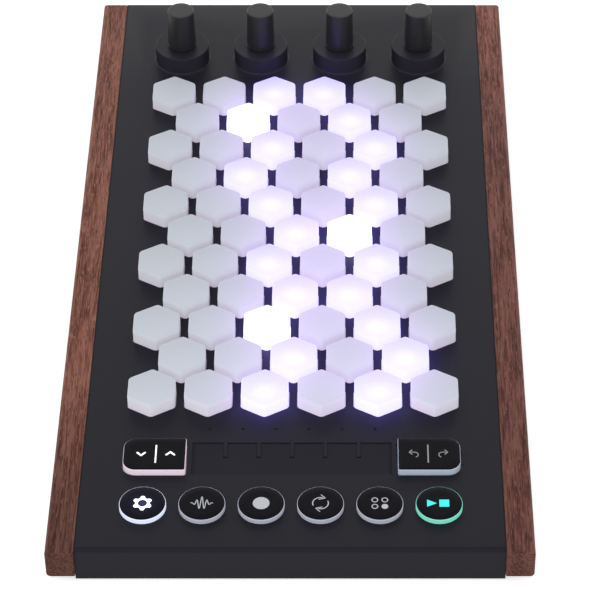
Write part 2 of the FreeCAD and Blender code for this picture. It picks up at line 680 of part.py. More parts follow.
def cheek(side):
    """A wooden cheek: rounded outer edges, eased ends, and blind holes for its inserts."""
    inner_x = side * CASE_HALF
    outer_x = side * (CASE_HALF + CHEEK_THICK)
    wood = box(min(inner_x, outer_x), FRONT_Y - CHEEK_FRONT_LEAD, CHEEK_Z,
               max(inner_x, outer_x), REAR_Y - CHEEK_REAR_SETBACK, PANEL_TOP_Z)

    def outer_edges(shape, z):
        return [e for e in rim_edges(shape, z)
                if e.BoundBox.YLength > CASE_LENGTH / 2
                and abs(e.BoundBox.XMin - outer_x) < 0.01]

    wood = wood.makeFillet(CHEEK_TOP_R, outer_edges(wood, PANEL_TOP_Z))
    wood = wood.makeFillet(CHEEK_BOTTOM_R, outer_edges(wood, CHEEK_Z))
    ends = [e for e in wood.Edges if e.BoundBox.YLength < 0.01]
    wood = wood.makeFillet(CHEEK_END_R, ends)
    holes = [
        rod_along(INSERT_R, (inner_x, y, CHEEK_SCREW_Z), (side, 0, 0), INSERT_LENGTH)
        for y in CHEEK_SCREW_YS
    ]
    return wood.cut(holes)


def cheek_inserts():
    """Threaded brass bushes, pressed into the cheeks' inner faces."""
    solids = []
    for side in (-1, 1):
        for y in CHEEK_SCREW_YS:
            start = (side * CASE_HALF, y, CHEEK_SCREW_Z)
            bush = rod_along(INSERT_R, start, (side, 0, 0), INSERT_LENGTH)
            bore = rod_along(SCREW_R + THREAD_CLEAR, start, (side, 0, 0), INSERT_LENGTH)
            solids.append(bush.cut(bore))
    return group(solids)


def pan_screw(start, direction, length):
    """A round-headed screw; its head stands on start, its shank runs along direction."""
    back = tuple(-v for v in direction)
    head = rod_along(SCREW_HEAD_R, start, back, SCREW_HEAD)
    shank = rod_along(SCREW_R, start, direction, length)
    mouth = tuple(s + b * SCREW_HEAD for s, b in zip(start, back))
    drive = rod_along(SCREW_DRIVE, mouth, direction, SCREW_HEAD / 2)
    return head.fuse(shank).cut(drive)


def flat_screw(x, y):
    """A countersunk base screw, driven up into a case post."""
    head_r = SCREW_HEAD_R
    head = Part.makeCone(head_r, SCREW_R, SCREW_HEAD, FreeCAD.Vector(x, y, CASE_Z + LID_CLEAR))
    shank = rod(SCREW_R, x, y, CASE_Z + SCREW_HEAD, BASE_TOP_Z + SCREW_GRIP)
    drive = rod(SCREW_DRIVE, x, y, CASE_Z, CASE_Z + SCREW_HEAD / 2 + LID_CLEAR)
    return head.fuse(shank).cut(drive)


def board(area, z0, holes):
    """A printed circuit board over an area, with round holes given as (x, y, radius)."""
    x0, y0, x1, y1 = area
    plate = box(x0, y0, z0, x1, y1, z0 + BOARD_THICK)
    tools = [rod(r, x, y, z0 - CUT, z0 + BOARD_THICK + CUT) for x, y, r in holes]
    return plate.cut(tools) if tools else plate


def inside(area, points):
    """Those points that fall on an area."""
    x0, y0, x1, y1 = area
    return [(x, y) for x, y in points if x0 < x < x1 and y0 < y < y1]


def screwed_board_holes(area, screws):
    """Holes for a board's own screws, and wide ones where the case's base posts pass."""
    holes = [(x, y, SCREW_R + LID_CLEAR) for x, y in screws]
    return holes + [(x, y, POST_R + HOLE_CLEAR) for x, y in inside(area, BASE_POSTS)]


def key_guide():
    """The plate that the key stems slide in, with spacers that stand on the key board."""
    x0, y0, x1, y1 = FIELD_AREA
    plate = box(x0, y0, GUIDE_Z, x1, y1, GUIDE_TOP_Z)
    plate = plate.fuse([rod(SMALL_POST_R, x, y, BOARD_TOP_Z, GUIDE_Z) for x, y in FIELD_POSTS])
    tools = [rod(STEM_R + SLIDE_FIT, x, y, GUIDE_Z - CUT, GUIDE_TOP_Z + CUT) for x, y in ALL_KEYS]
    tools += [
        rod(POST_R + HOLE_CLEAR, x, y, GUIDE_Z - CUT, GUIDE_TOP_Z + CUT)
        for x, y in inside(FIELD_AREA, BASE_POSTS)
    ]
    tools += [
        rod(SCREW_R + LID_CLEAR, x, y, BOARD_TOP_Z - CUT, GUIDE_TOP_Z + CUT)
        for x, y in FIELD_POSTS
    ]
    return plate.cut(tools)


def dome():
    """One hollow rubber dome, and the hollow that is cut under it."""
    shell = Part.makeCone(DOME_BASE_R, DOME_TOP_R, DOME_HEIGHT,
                          FreeCAD.Vector(0, 0, MAT_TOP_Z))
    hollow = Part.makeCone(DOME_BASE_R - DOME_SKIN, DOME_TOP_R - DOME_SKIN,
                           MAT_THICK + DOME_HEIGHT - DOME_SKIN,
                           FreeCAD.Vector(0, 0, BOARD_TOP_Z))
    return shell, hollow


def dome_mat(area, places, holes):
    """A rubber sheet on a board, with a hollow dome at each place and round holes."""
    x0, y0, x1, y1 = area
    sheet = box(x0, y0, BOARD_TOP_Z, x1, y1, MAT_TOP_Z)
    shell, hollow = dome()
    sheet = sheet.fuse([moved(shell, x, y) for x, y in places])
    tools = [moved(hollow, x, y) for x, y in places]
    tools += [rod(r, x, y, BOARD_TOP_Z - CUT, MAT_TOP_Z + CUT) for x, y, r in holes]
    return sheet.cut(tools)


def led(x, y):
    """A small square light on a board."""
    half = LED_SIZE / 2
    return box(x - half, y - half, BOARD_TOP_Z, x + half, y + half, BOARD_TOP_Z + LED_HEIGHT)


def key_mat():
    holes = [(x, y, SMALL_POST_R + HOLE_CLEAR) for x, y in FIELD_POSTS]
    holes += [(x, y, POST_R + HOLE_CLEAR) for x, y in inside(FIELD_AREA, BASE_POSTS)]
    return dome_mat(FIELD_AREA, ALL_KEYS, holes)


def button_mat():
    holes = [(x, y, SMALL_POST_R + HOLE_CLEAR) for x, y in CONTROL_POSTS]
    holes += [(x, y, POST_R + HOLE_CLEAR) for x, y in inside(CONTROL_AREA, BASE_POSTS)]
    holes += [(x, y, LED_SIZE) for x, y in DOTS]
    return dome_mat(CONTROL_AREA, BUTTONS + ROCKER_FEET, holes)


def touch_strip():
    """The thin smooth skin laid in the recess, notched round the ribs."""
    low = PANEL_TOP_Z - STRIP_RECESS
    return strip_recess(low, low + STRIP_SKIN, THREAD_CLEAR)


def light_pipes():
    """Clear pins that carry light from the control board to the six dots."""
    low = BOARD_TOP_Z + LED_HEIGHT + REST_GAP
    return group([rod(DOT_R, x, y, low, PANEL_TOP_Z) for x, y in DOTS])


def round_socket(x):
    """A small round jack socket: a body on the rear board and a sleeve through the wall."""
    mouth_y = REAR_Y - LID_CLEAR
    rear_y = REAR_Y - CASE_WALL - REST_GAP
    body = box(x - SOCKET_WIDTH / 2, rear_y - SOCKET_BODY, CONNECTOR_TOP_Z,
               x + SOCKET_WIDTH / 2, rear_y, CONNECTOR_TOP_Z + SOCKET_HEIGHT)
    sleeve = rod_along(SOCKET_SLEEVE_R, (x, rear_y, SOCKET_Z), (0, 1, 0), mouth_y - rear_y)
    bore = rod_along(SOCKET_BORE_R, (x, mouth_y - SOCKET_BORE_DEEP, SOCKET_Z), (0, 1, 0),
                     SOCKET_BORE_DEEP + CUT)
    return body.fuse(sleeve).cut(bore)


def usb_socket():
    """A USB socket: a thin steel sleeve round a flat tongue."""
    mouth_y = REAR_Y - LID_CLEAR
    back_y = mouth_y - USB_DEEP
    shell = usb_block(0.0, back_y, mouth_y)
    hollow = usb_block(-USB_SKIN, back_y + USB_BACK, mouth_y + CUT)
    middle_z = CONNECTOR_TOP_Z + USB_HEIGHT / 2
    tongue = box(USB_X - USB_WIDTH / 3, back_y, middle_z - USB_TONGUE / 2,
                 USB_X + USB_WIDTH / 3, mouth_y - USB_BACK, middle_z + USB_TONGUE / 2)
    return shell.cut(hollow).fuse(tongue)


def board_chips():
    """The processor on the rear board, and a driver chip under each of the other two boards."""
    y = CONNECTOR_AREA[1] + CHIP_FROM_EDGE
    chips = [box(USB_X, y, CONNECTOR_TOP_Z, USB_X + PROCESSOR_SIZE, y + PROCESSOR_SIZE,
                 CONNECTOR_TOP_Z + CHIP_HEIGHT)]
    places = [(0.0, ROCKER_Y)]
    for x in (-KEY_PITCH, KEY_PITCH):
        places += [(x, FIRST_ROW_Y + 2 * KEY_ROW_PITCH), (x, LAST_ROW_Y - 2 * KEY_ROW_PITCH)]
    half = CHIP_SIZE / 2
    chips += [
        box(x - half, y - half, BOARD_Z - CHIP_HEIGHT, x + half, y + half, BOARD_Z)
        for x, y in places
    ]
    return group(chips)


def board_links():
    """Flat flexible strips that join the control, key and rear boards."""
    half = FLEX_WIDTH / 2
    split_y = FIELD_AREA[1]
    front = box(KEY_PITCH - half, split_y - FLEX_LAP, BOARD_Z - FLEX_THICK,
                KEY_PITCH + half, split_y + FLEX_LAP, BOARD_Z)
    y0 = FIELD_AREA[3] - FLEX_LAP
    y1 = (FIELD_AREA[3] + CONNECTOR_AREA[1]) / 2
    y2 = CONNECTOR_AREA[1] + FLEX_REAR_LAP
    low = box(-half, y0, BOARD_Z - FLEX_THICK, half, y1, BOARD_Z)
    riser = box(-half, y1 - FLEX_THICK, BOARD_Z - FLEX_THICK, half, y1,
                CONNECTOR_TOP_Z + FLEX_THICK)
    high = box(-half, y1 - FLEX_THICK, CONNECTOR_TOP_Z, half, y2, CONNECTOR_TOP_Z + FLEX_THICK)
    return group([front, low.fuse([riser, high]).removeSplitter()])


def board_header():
    """The upright connector between the rear board and the encoder board."""
    y = KNOB_Y + ENCODER_WIDTH / 2
    return box(KNOB_PITCH - HEADER_WIDTH / 2, y, CONNECTOR_TOP_Z,
               KNOB_PITCH + HEADER_WIDTH / 2, y + HEADER_DEPTH, ENCODER_Z - BOARD_THICK)


def board_screws():
    """The screws that hold the boards and the key guide to the case and base."""
    up = (0, 0, 1)
    field = PANEL_Z - BOARD_Z - REST_GAP
    solids = [pan_screw((x, y, BOARD_Z), up, field) for x, y in FIELD_POSTS]
    solids += [
        pan_screw((x, y, BOARD_Z), up, BOARD_THICK + SCREW_GRIP - REST_GAP)
        for x, y in CONTROL_POSTS
    ]
    down = CONNECTOR_TOP_Z - CASE_Z - PILOT_ROOF - REST_GAP
    solids += [
        pan_screw((x, y, CONNECTOR_TOP_Z), (0, 0, -1), down) for x, y in connector_screws()
    ]
    return group(solids)


def cheek_screws():
    """Screws driven outwards from inside the case into the cheeks' inserts."""
    solids = []
    for side in (-1, 1):
        for y in CHEEK_SCREW_YS:
            solids.append(pan_screw((side * INNER_HALF, y, CHEEK_SCREW_Z), (side, 0, 0),
                                    CASE_WALL + INSERT_LENGTH - REST_GAP))
    return group(solids)


def rubber_feet():
    """Four round feet, glued into shallow seats in the base."""
    foot = rod(FOOT_R, 0, 0, 0, CASE_Z + FOOT_SEAT)
    foot = foot.makeFillet(FOOT_PROUD / 2, rim_edges(foot, 0))
    return group([moved(foot, x, y) for x, y in FEET])


def save(name, shape):
    """Writes one node's file and prints its size."""
    shape.exportStep("parts/" + name + ".step")
    b = shape.BoundBox
    print(name, "solids", len(shape.Solids), "volume", round(shape.Volume, 1),
          "x", round(b.XMin, 2), round(b.XMax, 2), "y", round(b.YMin, 2), round(b.YMax, 2),
          "z", round(b.ZMin, 2), round(b.ZMax, 2), "valid", shape.isValid())


save("top_case", top_case())
save("base_cover", base_cover())
save("left_cheek", cheek(-1))
save("right_cheek", cheek(1))
save("cheek_inserts", cheek_inserts())
save("cheek_screws", cheek_screws())
save("base_screws", group([flat_screw(x, y) for x, y in BASE_POSTS]))
save("rubber_feet", rubber_feet())
save("touch_strip", touch_strip())
save("light_pipes", light_pipes())
save("key_guide", key_guide())
save("key_dome_mat", key_mat())
save("key_board", board(FIELD_AREA, BOARD_Z, screwed_board_holes(FIELD_AREA, FIELD_POSTS)))
save("key_lights", group([led(x, y) for x, y in ALL_KEYS]))
save("button_dome_mat", button_mat())
save("control_board", board(CONTROL_AREA, BOARD_Z,
                            screwed_board_holes(CONTROL_AREA, CONTROL_POSTS)))
save("control_lights", group([led(x, y) for x, y in BUTTONS + ROCKER_FEET + DOTS]))
save("rocker_pins", rocker_pins())
save("encoder_board", board(ENCODER_AREA, ENCODER_Z - BOARD_THICK, []))
save("encoder_housings", group([moved(encoder_housing(), x, y) for x, y in KNOBS]))
save("encoder_nuts", group([moved(encoder_nut(), x, y) for x, y in KNOBS]))
save("connector_board", board(CONNECTOR_AREA, CONNECTOR_TOP_Z - BOARD_THICK,
                              [(x, y, SCREW_R + LID_CLEAR) for x, y in connector_screws()]))
save("control_sockets", group([round_socket(x) for x in CONTROL_SOCKET_XS]))
save("midi_sockets", group([round_socket(x) for x in MIDI_SOCKET_XS]))
save("usb_socket", usb_socket())
save("board_chips", board_chips())
save("board_links", board_links())
save("board_header", board_header())
save("board_screws", board_screws())

ONE_KEY = key_shape()
for row in range(KEY_ROWS):
    save("key_row_%d" % (row + 1), group([moved(ONE_KEY, x, y) for x, y in row_centres(row)]))

ONE_BUTTON = button_shape()
for number, (x, y) in enumerate(BUTTONS, 1):
    save("round_button_%d" % number, moved(ONE_BUTTON, x, y))

for name, (x, y) in zip(("left_rocker", "right_rocker"), ROCKERS):
    save(name, moved(rocker_shape(x), x, y))

for number, (x, y) in enumerate(KNOBS, 1):
    save("knob_%d" % number, moved(knob_shape(), x, y))
    save("encoder_shaft_%d" % number, moved(shaft_shape(), x, y))
    save("push_plunger_%d" % number, moved(plunger_shape(), x, y))
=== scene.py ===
# %% [markdown]
# # A desktop controller with a lit field of keys
# The object is a flat black case between two wooden cheeks. It has sixty-one milky six-sided
# keys, four black knobs, a touch strip, two rocker buttons and six round buttons. Its exact
# solids come from CAD as a frame. This lesson dresses that frame: it works out smooth surfaces
# with numpy for the pieces that the eye meets, and gives every piece a procedural finish.

# %% Load the measured frame
import math

import bmesh
import bpy
import numpy as np
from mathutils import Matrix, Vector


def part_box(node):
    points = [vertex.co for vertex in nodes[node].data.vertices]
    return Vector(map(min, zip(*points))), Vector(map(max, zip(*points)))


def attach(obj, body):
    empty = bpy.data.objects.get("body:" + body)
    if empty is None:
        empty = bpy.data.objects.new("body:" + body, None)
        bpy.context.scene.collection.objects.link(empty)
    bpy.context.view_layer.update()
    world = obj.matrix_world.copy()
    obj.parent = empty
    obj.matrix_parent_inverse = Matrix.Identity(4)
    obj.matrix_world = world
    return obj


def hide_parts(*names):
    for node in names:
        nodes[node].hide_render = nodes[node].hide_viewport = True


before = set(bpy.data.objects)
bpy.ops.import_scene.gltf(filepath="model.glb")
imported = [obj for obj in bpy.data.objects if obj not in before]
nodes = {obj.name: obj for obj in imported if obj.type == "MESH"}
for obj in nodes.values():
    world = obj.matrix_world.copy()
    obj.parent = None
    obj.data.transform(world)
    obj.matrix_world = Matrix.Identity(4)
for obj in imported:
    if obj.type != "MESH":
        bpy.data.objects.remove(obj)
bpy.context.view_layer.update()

MM = 0.001


def reach(name):
    """The lowest and the highest corner of a piece of the frame, in millimetres."""
    low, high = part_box(name)
    return np.array(low) / MM, np.array(high) / MM


def middle(name):
    """The middle of a piece of the frame, in millimetres."""
    return sum(reach(name)) / 2


def in_scene(name, data):
    """A new object in the scene, at the origin."""
    made = bpy.data.objects.new(name, data)
    bpy.context.scene.collection.objects.link(made)
    return made


(_, FRONT, _), (CASE_HALF, REAR, _) = reach("top_case")
print("pieces in the frame:", len(nodes))

# %% [markdown]
# ## Camera
# The photograph was taken with a long lens from in front and above. The key field is a regular
# lattice, so its corners in the picture fix the camera: its height, its tilt and its lens. The
# object stands left of the lens axis, and a small sideways shift keeps the picture's framing.

# %% Camera
LENS_LENGTH, LENS_SHIFT, LENS_TILT = 171.2, (-0.0901, -0.0008), 48.399
LENS_X, LENS_BEFORE_KEYS, LENS_HEIGHT = 24.09, 1101.98, 868.77
lens = bpy.data.cameras.new("studio_camera")
lens.sensor_width = 36.0
lens.lens = LENS_LENGTH
lens.shift_x, lens.shift_y = LENS_SHIFT
lens.clip_end = 30.0
camera = in_scene("studio_camera", lens)
lens_y = middle("key_row_1")[1] - LENS_BEFORE_KEYS
camera.location = (LENS_X * MM, lens_y * MM, LENS_HEIGHT * MM)
camera.rotation_euler = (math.radians(LENS_TILT), 0.0, 0.0)
bpy.context.scene.camera = camera
bpy.context.scene.view_settings.view_transform = "Standard"
print("camera looks down by degrees:", round(90 - LENS_TILT, 2))

# %% [markdown]
# ## Wiring shader nodes
# A material is a small circuit. A few helpers keep the circuits readable: they add a node and
# link or type in its inputs, do one step of arithmetic, and mix two colours.

# %% Helpers for shader nodes
def feed(tree, entry, value):
    """Links a socket to an input, or types any other value in."""
    if isinstance(value, bpy.types.NodeSocket):
        tree.links.new(value, entry)
    else:
        entry.default_value = value


def put(tree, kind, settings=None, *by_place, **by_name):
    """Adds one node and feeds its inputs, by place or by name. None leaves an input alone."""
    node = tree.nodes.new("ShaderNode" + kind)
    for name, value in (settings or {}).items():
        setattr(node, name, value)
    named = [(name.replace("_", " "), value) for name, value in by_name.items()]
    for where, value in [*enumerate(by_place), *named]:
        if value is not None:
            feed(tree, node.inputs[where], value)
    return node


def sums(tree, operation, a, b=None, c=None, clamp=False):
    """One step of arithmetic on values."""
    settings = {"operation": operation, "use_clamp": clamp}
    return put(tree, "Math", settings, a, b, c).outputs[0]


def blended(tree, factor, a, b, how="MIX"):
    """A colour between a and b, or their product with how='MULTIPLY'."""
    node = put(tree, "Mix", {"data_type": "RGBA", "blend_type": how})
    for place, value in ((0, factor), (6, a), (7, b)):
        feed(tree, node.inputs[place], value)
    return node.outputs[2]


def ranged(tree, value, low, high, to_low=0.0, to_high=1.0):
    """Carries a value from one range to another, with soft ends."""
    settings = {"interpolation_type": "SMOOTHSTEP"}
    return put(tree, "MapRange", settings, value, low, high, to_low, to_high).outputs[0]


def paint(red, green, blue):
    """A colour for a socket, in linear light."""
    return (red, green, blue, 1.0)


# %% [markdown]
# ## Effects that several finishes share
# Moulded plastic is never quite even: the mould leaves a fine grain, and the gloss changes a
# little from place to place. Edges that hands meet go brighter or paler. Each effect is a node
# group, built once, and every material sets its own values on it.

# %% A maker for node groups
def effect(name, inputs, outputs):
    """A new node group with named float or colour sockets. Gives the tree, its inputs, its end."""
    tree = bpy.data.node_groups.new(name, "ShaderNodeTree")
    for title, value in inputs.items():
        kind = "NodeSocketColor" if isinstance(value, tuple) else "NodeSocketFloat"
        tree.interface.new_socket(title, in_out="INPUT", socket_type=kind).default_value = value
    for title, kind in outputs.items():
        tree.interface.new_socket(title, in_out="OUTPUT", socket_type="NodeSocket" + kind)
    start = tree.nodes.new("NodeGroupInput").outputs
    end = tree.nodes.new("NodeGroupOutput").inputs
    return tree, start, end


def placed(tree, group, **values):
    """Places an effect in a material, with its own values."""
    return put(tree, "Group", {"node_tree": group}, **values).outputs


# %% The grain of moulded plastic
# Height is fine noise plus finer noise. Tone is a slow noise about 1, for uneven colour.
# Roughness swings a little about its own value with the same slow noise.
FINER_BY, FINER_SHARE = 2.7, 0.4
grain, start, end = effect(
    "moulded_grain",
    {"Scale": 2500.0, "Mottle": 0.06, "Roughness": 0.45, "Spread": 0.05},
    {"Height": "Float", "Tone": "Float", "Roughness": "Float"},
)
place = put(grain, "TexCoord").outputs["Object"]
fine = put(grain, "TexNoise", None, Vector=place, Scale=start["Scale"], Detail=2.0)
finer_scale = sums(grain, "MULTIPLY", start["Scale"], FINER_BY)
finer = put(grain, "TexNoise", None, Vector=place, Scale=finer_scale, Detail=1.0)
slow = put(grain, "TexNoise", None, Vector=place, Scale=38.0, Detail=4.0)
height = sums(grain, "MULTIPLY_ADD", finer.outputs[0], FINER_SHARE, fine.outputs[0])
grain.links.new(height, end["Height"])
swing = sums(grain, "SUBTRACT", slow.outputs[0], 0.5)
tone = sums(grain, "MULTIPLY_ADD", swing, start["Mottle"], 1.0)
grain.links.new(tone, end["Tone"])
gloss = sums(grain, "MULTIPLY_ADD", swing, start["Spread"], start["Roughness"])
grain.links.new(gloss, end["Roughness"])
print("effect:", grain.name)

# %% Edges that light and hands find first
# The Bevel node asks how the surface would turn if its edges were rounded. Where that differs
# from the true direction, there is an edge: Mask grows with one minus their dot product.
edges, start, end = effect("soft_edges", {"Width": 0.0004, "Amount": 1.0}, {"Mask": "Float"})
rounded = put(edges, "Bevel", {"samples": 4}, start["Width"]).outputs[0]
straight = put(edges, "NewGeometry").outputs["Normal"]
match = put(edges, "VectorMath", {"operation": "DOT_PRODUCT"}, rounded, straight).outputs["Value"]
mask = ranged(edges, sums(edges, "SUBTRACT", 1.0, match), 0.02, 0.30)
edges.links.new(sums(edges, "MULTIPLY", mask, start["Amount"], clamp=True), end["Mask"])
print("effect:", edges.name)

# %% A thin film of dust and finger marks
# A slow noise leaves soft patches and a fine one adds flecks. Veil pales the colour there, and
# Roughen dulls the gloss of the patches.
FLECK_BY, FLECK_SHARE = 21.0, 0.6
film, start, end = effect(
    "thin_film", {"Amount": 0.1, "Scale": 60.0}, {"Veil": "Float", "Roughen": "Float"}
)
place = put(film, "TexCoord").outputs["Object"]
patch = put(film, "TexNoise", None, Vector=place, Scale=start["Scale"], Detail=5.0)
fleck_scale = sums(film, "MULTIPLY", start["Scale"], FLECK_BY)
fleck = put(film, "TexNoise", None, Vector=place, Scale=fleck_scale, Detail=2.0)
patchy = ranged(film, patch.outputs[0], 0.45, 0.75)
flecked = ranged(film, fleck.outputs[0], 0.60, 0.72)
veil = sums(film, "MULTIPLY_ADD", flecked, FLECK_SHARE, patchy)
for title, amount in (("Veil", veil), ("Roughen", patchy)):
    film.links.new(sums(film, "MULTIPLY", amount, start["Amount"], clamp=True), end[title])
print("effect:", film.name)

# %% [markdown]
# ## Open-pored wood
# The cheeks are a reddish brown hardwood with its pores left open. Wood is a solid texture: its
# growth layers are nearly flat sheets that run the length of the board, so the same sheets show
# as stripes on top and as slanting streaks on the sawn ends. Fibres, dark pores and pale flecks
# are noise drawn out along the length. Two end values paint shading on the board: they make its
# front and rear ends darker or lighter, in place of light and shade.

# %% The wood effect
LAYER, WANDER, SHEET_X, SHEET_Z = 2.1 * MM, 6 * MM, 0.78, 0.62
LAYER_SHARE, FIBRE_SHARE, EVEN_TONE, END_REACH = 0.07, 2.9, 0.62, 0.35
wood, start, end = effect(
    "open_pored_wood",
    {"Shift": 0.0, "Near": 1.0, "Far": 1.0, "Dark": paint(0.05, 0.02, 0.015),
     "Mid": paint(0.17, 0.068, 0.048), "Pale": paint(0.30, 0.15, 0.105)},
    {"Colour": "Color", "Height": "Float", "Roughness": "Float"},
)
place = put(wood, "TexCoord").outputs["Object"]
offset = put(wood, "CombineXYZ", None, start["Shift"], start["Shift"], start["Shift"]).outputs[0]
moved = put(wood, "VectorMath", {"operation": "ADD"}, place, offset).outputs[0]


def drawn_out(across, along, detail, shift=0.0, turn=0.0):
    """Noise with so many waves per metre across the board and along it."""
    node = put(wood, "Mapping", None, moved, (shift, shift, shift), (0.0, 0.0, turn),
               (across, along, across))
    return put(wood, "TexNoise", None, Vector=node.outputs[0], Scale=1.0, Detail=detail).outputs[0]


bend = drawn_out(60.0, 9.0, 2.0)
broad = drawn_out(170.0, 22.0, 3.0, 3.1, 0.06)
fibres = drawn_out(1300.0, 70.0, 5.0, 7.7, 0.04)
pores = ranged(wood, drawn_out(2100.0, 190.0, 2.0, 1.3, 0.06), 0.60, 0.70)
flecks = ranged(wood, drawn_out(1500.0, 230.0, 2.0, 5.9, 0.09), 0.57, 0.68)
axes = put(wood, "SeparateXYZ", None, moved).outputs
slant = sums(wood, "MULTIPLY_ADD", axes["Z"], SHEET_Z, sums(wood, "MULTIPLY", axes["X"], SHEET_X))
sheet_place = sums(wood, "MULTIPLY_ADD", bend, WANDER, slant)
layers = sums(wood, "SINE", sums(wood, "MULTIPLY", sheet_place, 2 * math.pi / LAYER))
patches = sums(wood, "MULTIPLY_ADD", ranged(wood, broad, 0.3, 0.7), 0.56, 0.22)
tone = sums(wood, "MULTIPLY_ADD", layers, LAYER_SHARE, patches)
tone = sums(wood, "MULTIPLY_ADD", sums(wood, "SUBTRACT", fibres, 0.5), FIBRE_SHARE, tone)
paler = sums(wood, "MULTIPLY", tone, 0.62, clamp=True)
darker = sums(wood, "MULTIPLY", sums(wood, "SUBTRACT", EVEN_TONE, tone), 0.9, clamp=True)
fleck_cover, pore_cover = sums(wood, "MULTIPLY", flecks, 0.7), sums(wood, "MULTIPLY", pores, 0.8)
colour = start["Mid"]
for factor, shade in ((paler, "Pale"), (darker, "Dark"), (fleck_cover, "Pale"),
                      (pore_cover, "Dark")):
    colour = blended(wood, factor, colour, start[shade])
along = put(wood, "SeparateXYZ", None, place).outputs["Y"]
# Painted shading: the front and the rear end of the board are made darker or lighter.
for title, edge_y in (("Near", FRONT * MM), ("Far", REAR * MM)):
    painted_end_shading = ranged(wood, along, edge_y, END_REACH * edge_y, start[title], 1.0)
    colour = blended(wood, 1.0, colour, painted_end_shading, "MULTIPLY")
wood.links.new(colour, end["Colour"])
raised = sums(wood, "SUBTRACT", sums(wood, "MULTIPLY", fibres, 0.5), pores)
wood.links.new(raised, end["Height"])
wood.links.new(sums(wood, "MULTIPLY_ADD", pores, 0.25, 0.46), end["Roughness"])
print("effect:", wood.name)

# %% [markdown]
# ## Finishes
# Each finish is one Principled shader with its grain. What is the same all over a piece, such as
# how strongly it mirrors, is typed on the shader. What changes comes from the effects.

# %% Makers for finishes
def circuit(material):
    """The node tree of a material and the shader in it."""
    return material.node_tree, material.node_tree.nodes["Principled BSDF"]


def new_material(name, mirror):
    """A material with its tree and its shader, which mirrors so strongly."""
    material = bpy.data.materials.new(name)
    material.use_nodes = True
    tree, shader = circuit(material)
    shader.inputs["Specular IOR Level"].default_value = mirror
    return material, tree, shader


def dress(tree, shader, colour, roughness, height, strength, depth):
    """Wires a colour, a roughness and a relief of so many millimetres into a shader."""
    tree.links.new(colour, shader.inputs["Base Color"])
    tree.links.new(roughness, shader.inputs["Roughness"])
    relief = put(tree, "Bump", None, Strength=strength, Distance=depth * MM, Height=height)
    tree.links.new(relief.outputs[0], shader.inputs["Normal"])


def finish(name, colour, rough, scale=2500.0, bump=0.02, mottle=0.06, mirror=0.5, metal=0.0,
           veil=0.05, edge=None):
    """A finish with grain, a thin film and, if edge is a colour, edges of that colour."""
    material, tree, shader = new_material(name, mirror)
    shader.inputs["Metallic"].default_value = metal
    moulding = placed(tree, grain, Scale=scale, Mottle=mottle, Roughness=rough, Spread=0.05)
    marks = placed(tree, film, Amount=veil)
    shown = blended(tree, 1.0, paint(*colour), moulding["Tone"], "MULTIPLY")
    dusty = paint(*(min(1.0, 0.05 + 1.5 * part) for part in colour))
    shown = blended(tree, sums(tree, "MULTIPLY", marks["Veil"], 0.25), shown, dusty)
    if edge:
        rim = placed(tree, edges, Width=0.4 * MM, Amount=0.7)
        shown = blended(tree, rim["Mask"], shown, paint(*edge))
    roughness = sums(tree, "MULTIPLY_ADD", marks["Roughen"], 0.4, moulding["Roughness"])
    dress(tree, shader, shown, roughness, moulding["Height"], 1.0, bump)
    return material


def lit_by(material, attribute):
    """Lets a finish shine with the colour that the mesh carries under that name."""
    tree, shader = circuit(material)
    carried = put(tree, "Attribute", {"attribute_name": attribute}).outputs["Color"]
    tree.links.new(carried, shader.inputs["Emission Color"])
    shader.inputs["Emission Strength"].default_value = 1.0
    return material


# %% Plain finishes for the slots of the record
finishes = {
    "black_case": finish("satin_black_case", (0.0107, 0.0101, 0.0163), 0.45, 1900, 0.02,
                         mirror=0.14, edge=(0.0115, 0.0108, 0.0170)),
    "knob_black": finish("smooth_black_knob", (0.0225, 0.0225, 0.0240), 0.34, 2600, 0.006,
                         mirror=0.25),
    "strip_skin": finish("touch_strip_skin", (0.0058, 0.0053, 0.0128), 0.42, 1500, 0.01,
                         mirror=0.14),
    "clear_plastic": finish("smoked_light_guide", (0.0085, 0.0080, 0.0095), 0.2, 1500, 0.004,
                            mirror=0.1),
    "white_plastic": finish("white_moulding", (0.72, 0.72, 0.70), 0.45),
    "dome_rubber": finish("dome_silicone", (0.52, 0.53, 0.56), 0.6, 1500, 0.03),
    "foot_rubber": finish("foot_rubber", (0.022, 0.022, 0.022), 0.75, 1800, 0.06, mirror=0.3,
                          edge=(0.05, 0.05, 0.05)),
    "circuit_board": finish("green_solder_mask", (0.012, 0.075, 0.035), 0.35, 900, 0.02),
    "light_chip": finish("light_chip_lens", (0.82, 0.80, 0.62), 0.3, 1500, 0.01),
    "socket_plastic": finish("socket_black", (0.014, 0.014, 0.015), 0.42, 2200, 0.02,
                             edge=(0.04, 0.04, 0.042)),
    "flex_film": finish("amber_film", (0.42, 0.19, 0.035), 0.3, 900, 0.01),
    "brass": finish("turned_brass", (0.62, 0.43, 0.17), 0.32, 1200, 0.01, metal=1.0),
    "steel": finish("plain_steel", (0.52, 0.52, 0.53), 0.3, 1600, 0.01, metal=1.0,
                    edge=(0.75, 0.75, 0.76)),
    "black_steel": finish("blackened_steel", (0.03, 0.03, 0.032), 0.4, 1600, 0.01,
                          edge=(0.12, 0.12, 0.12)),
}
print("plain finishes:", len(finishes))
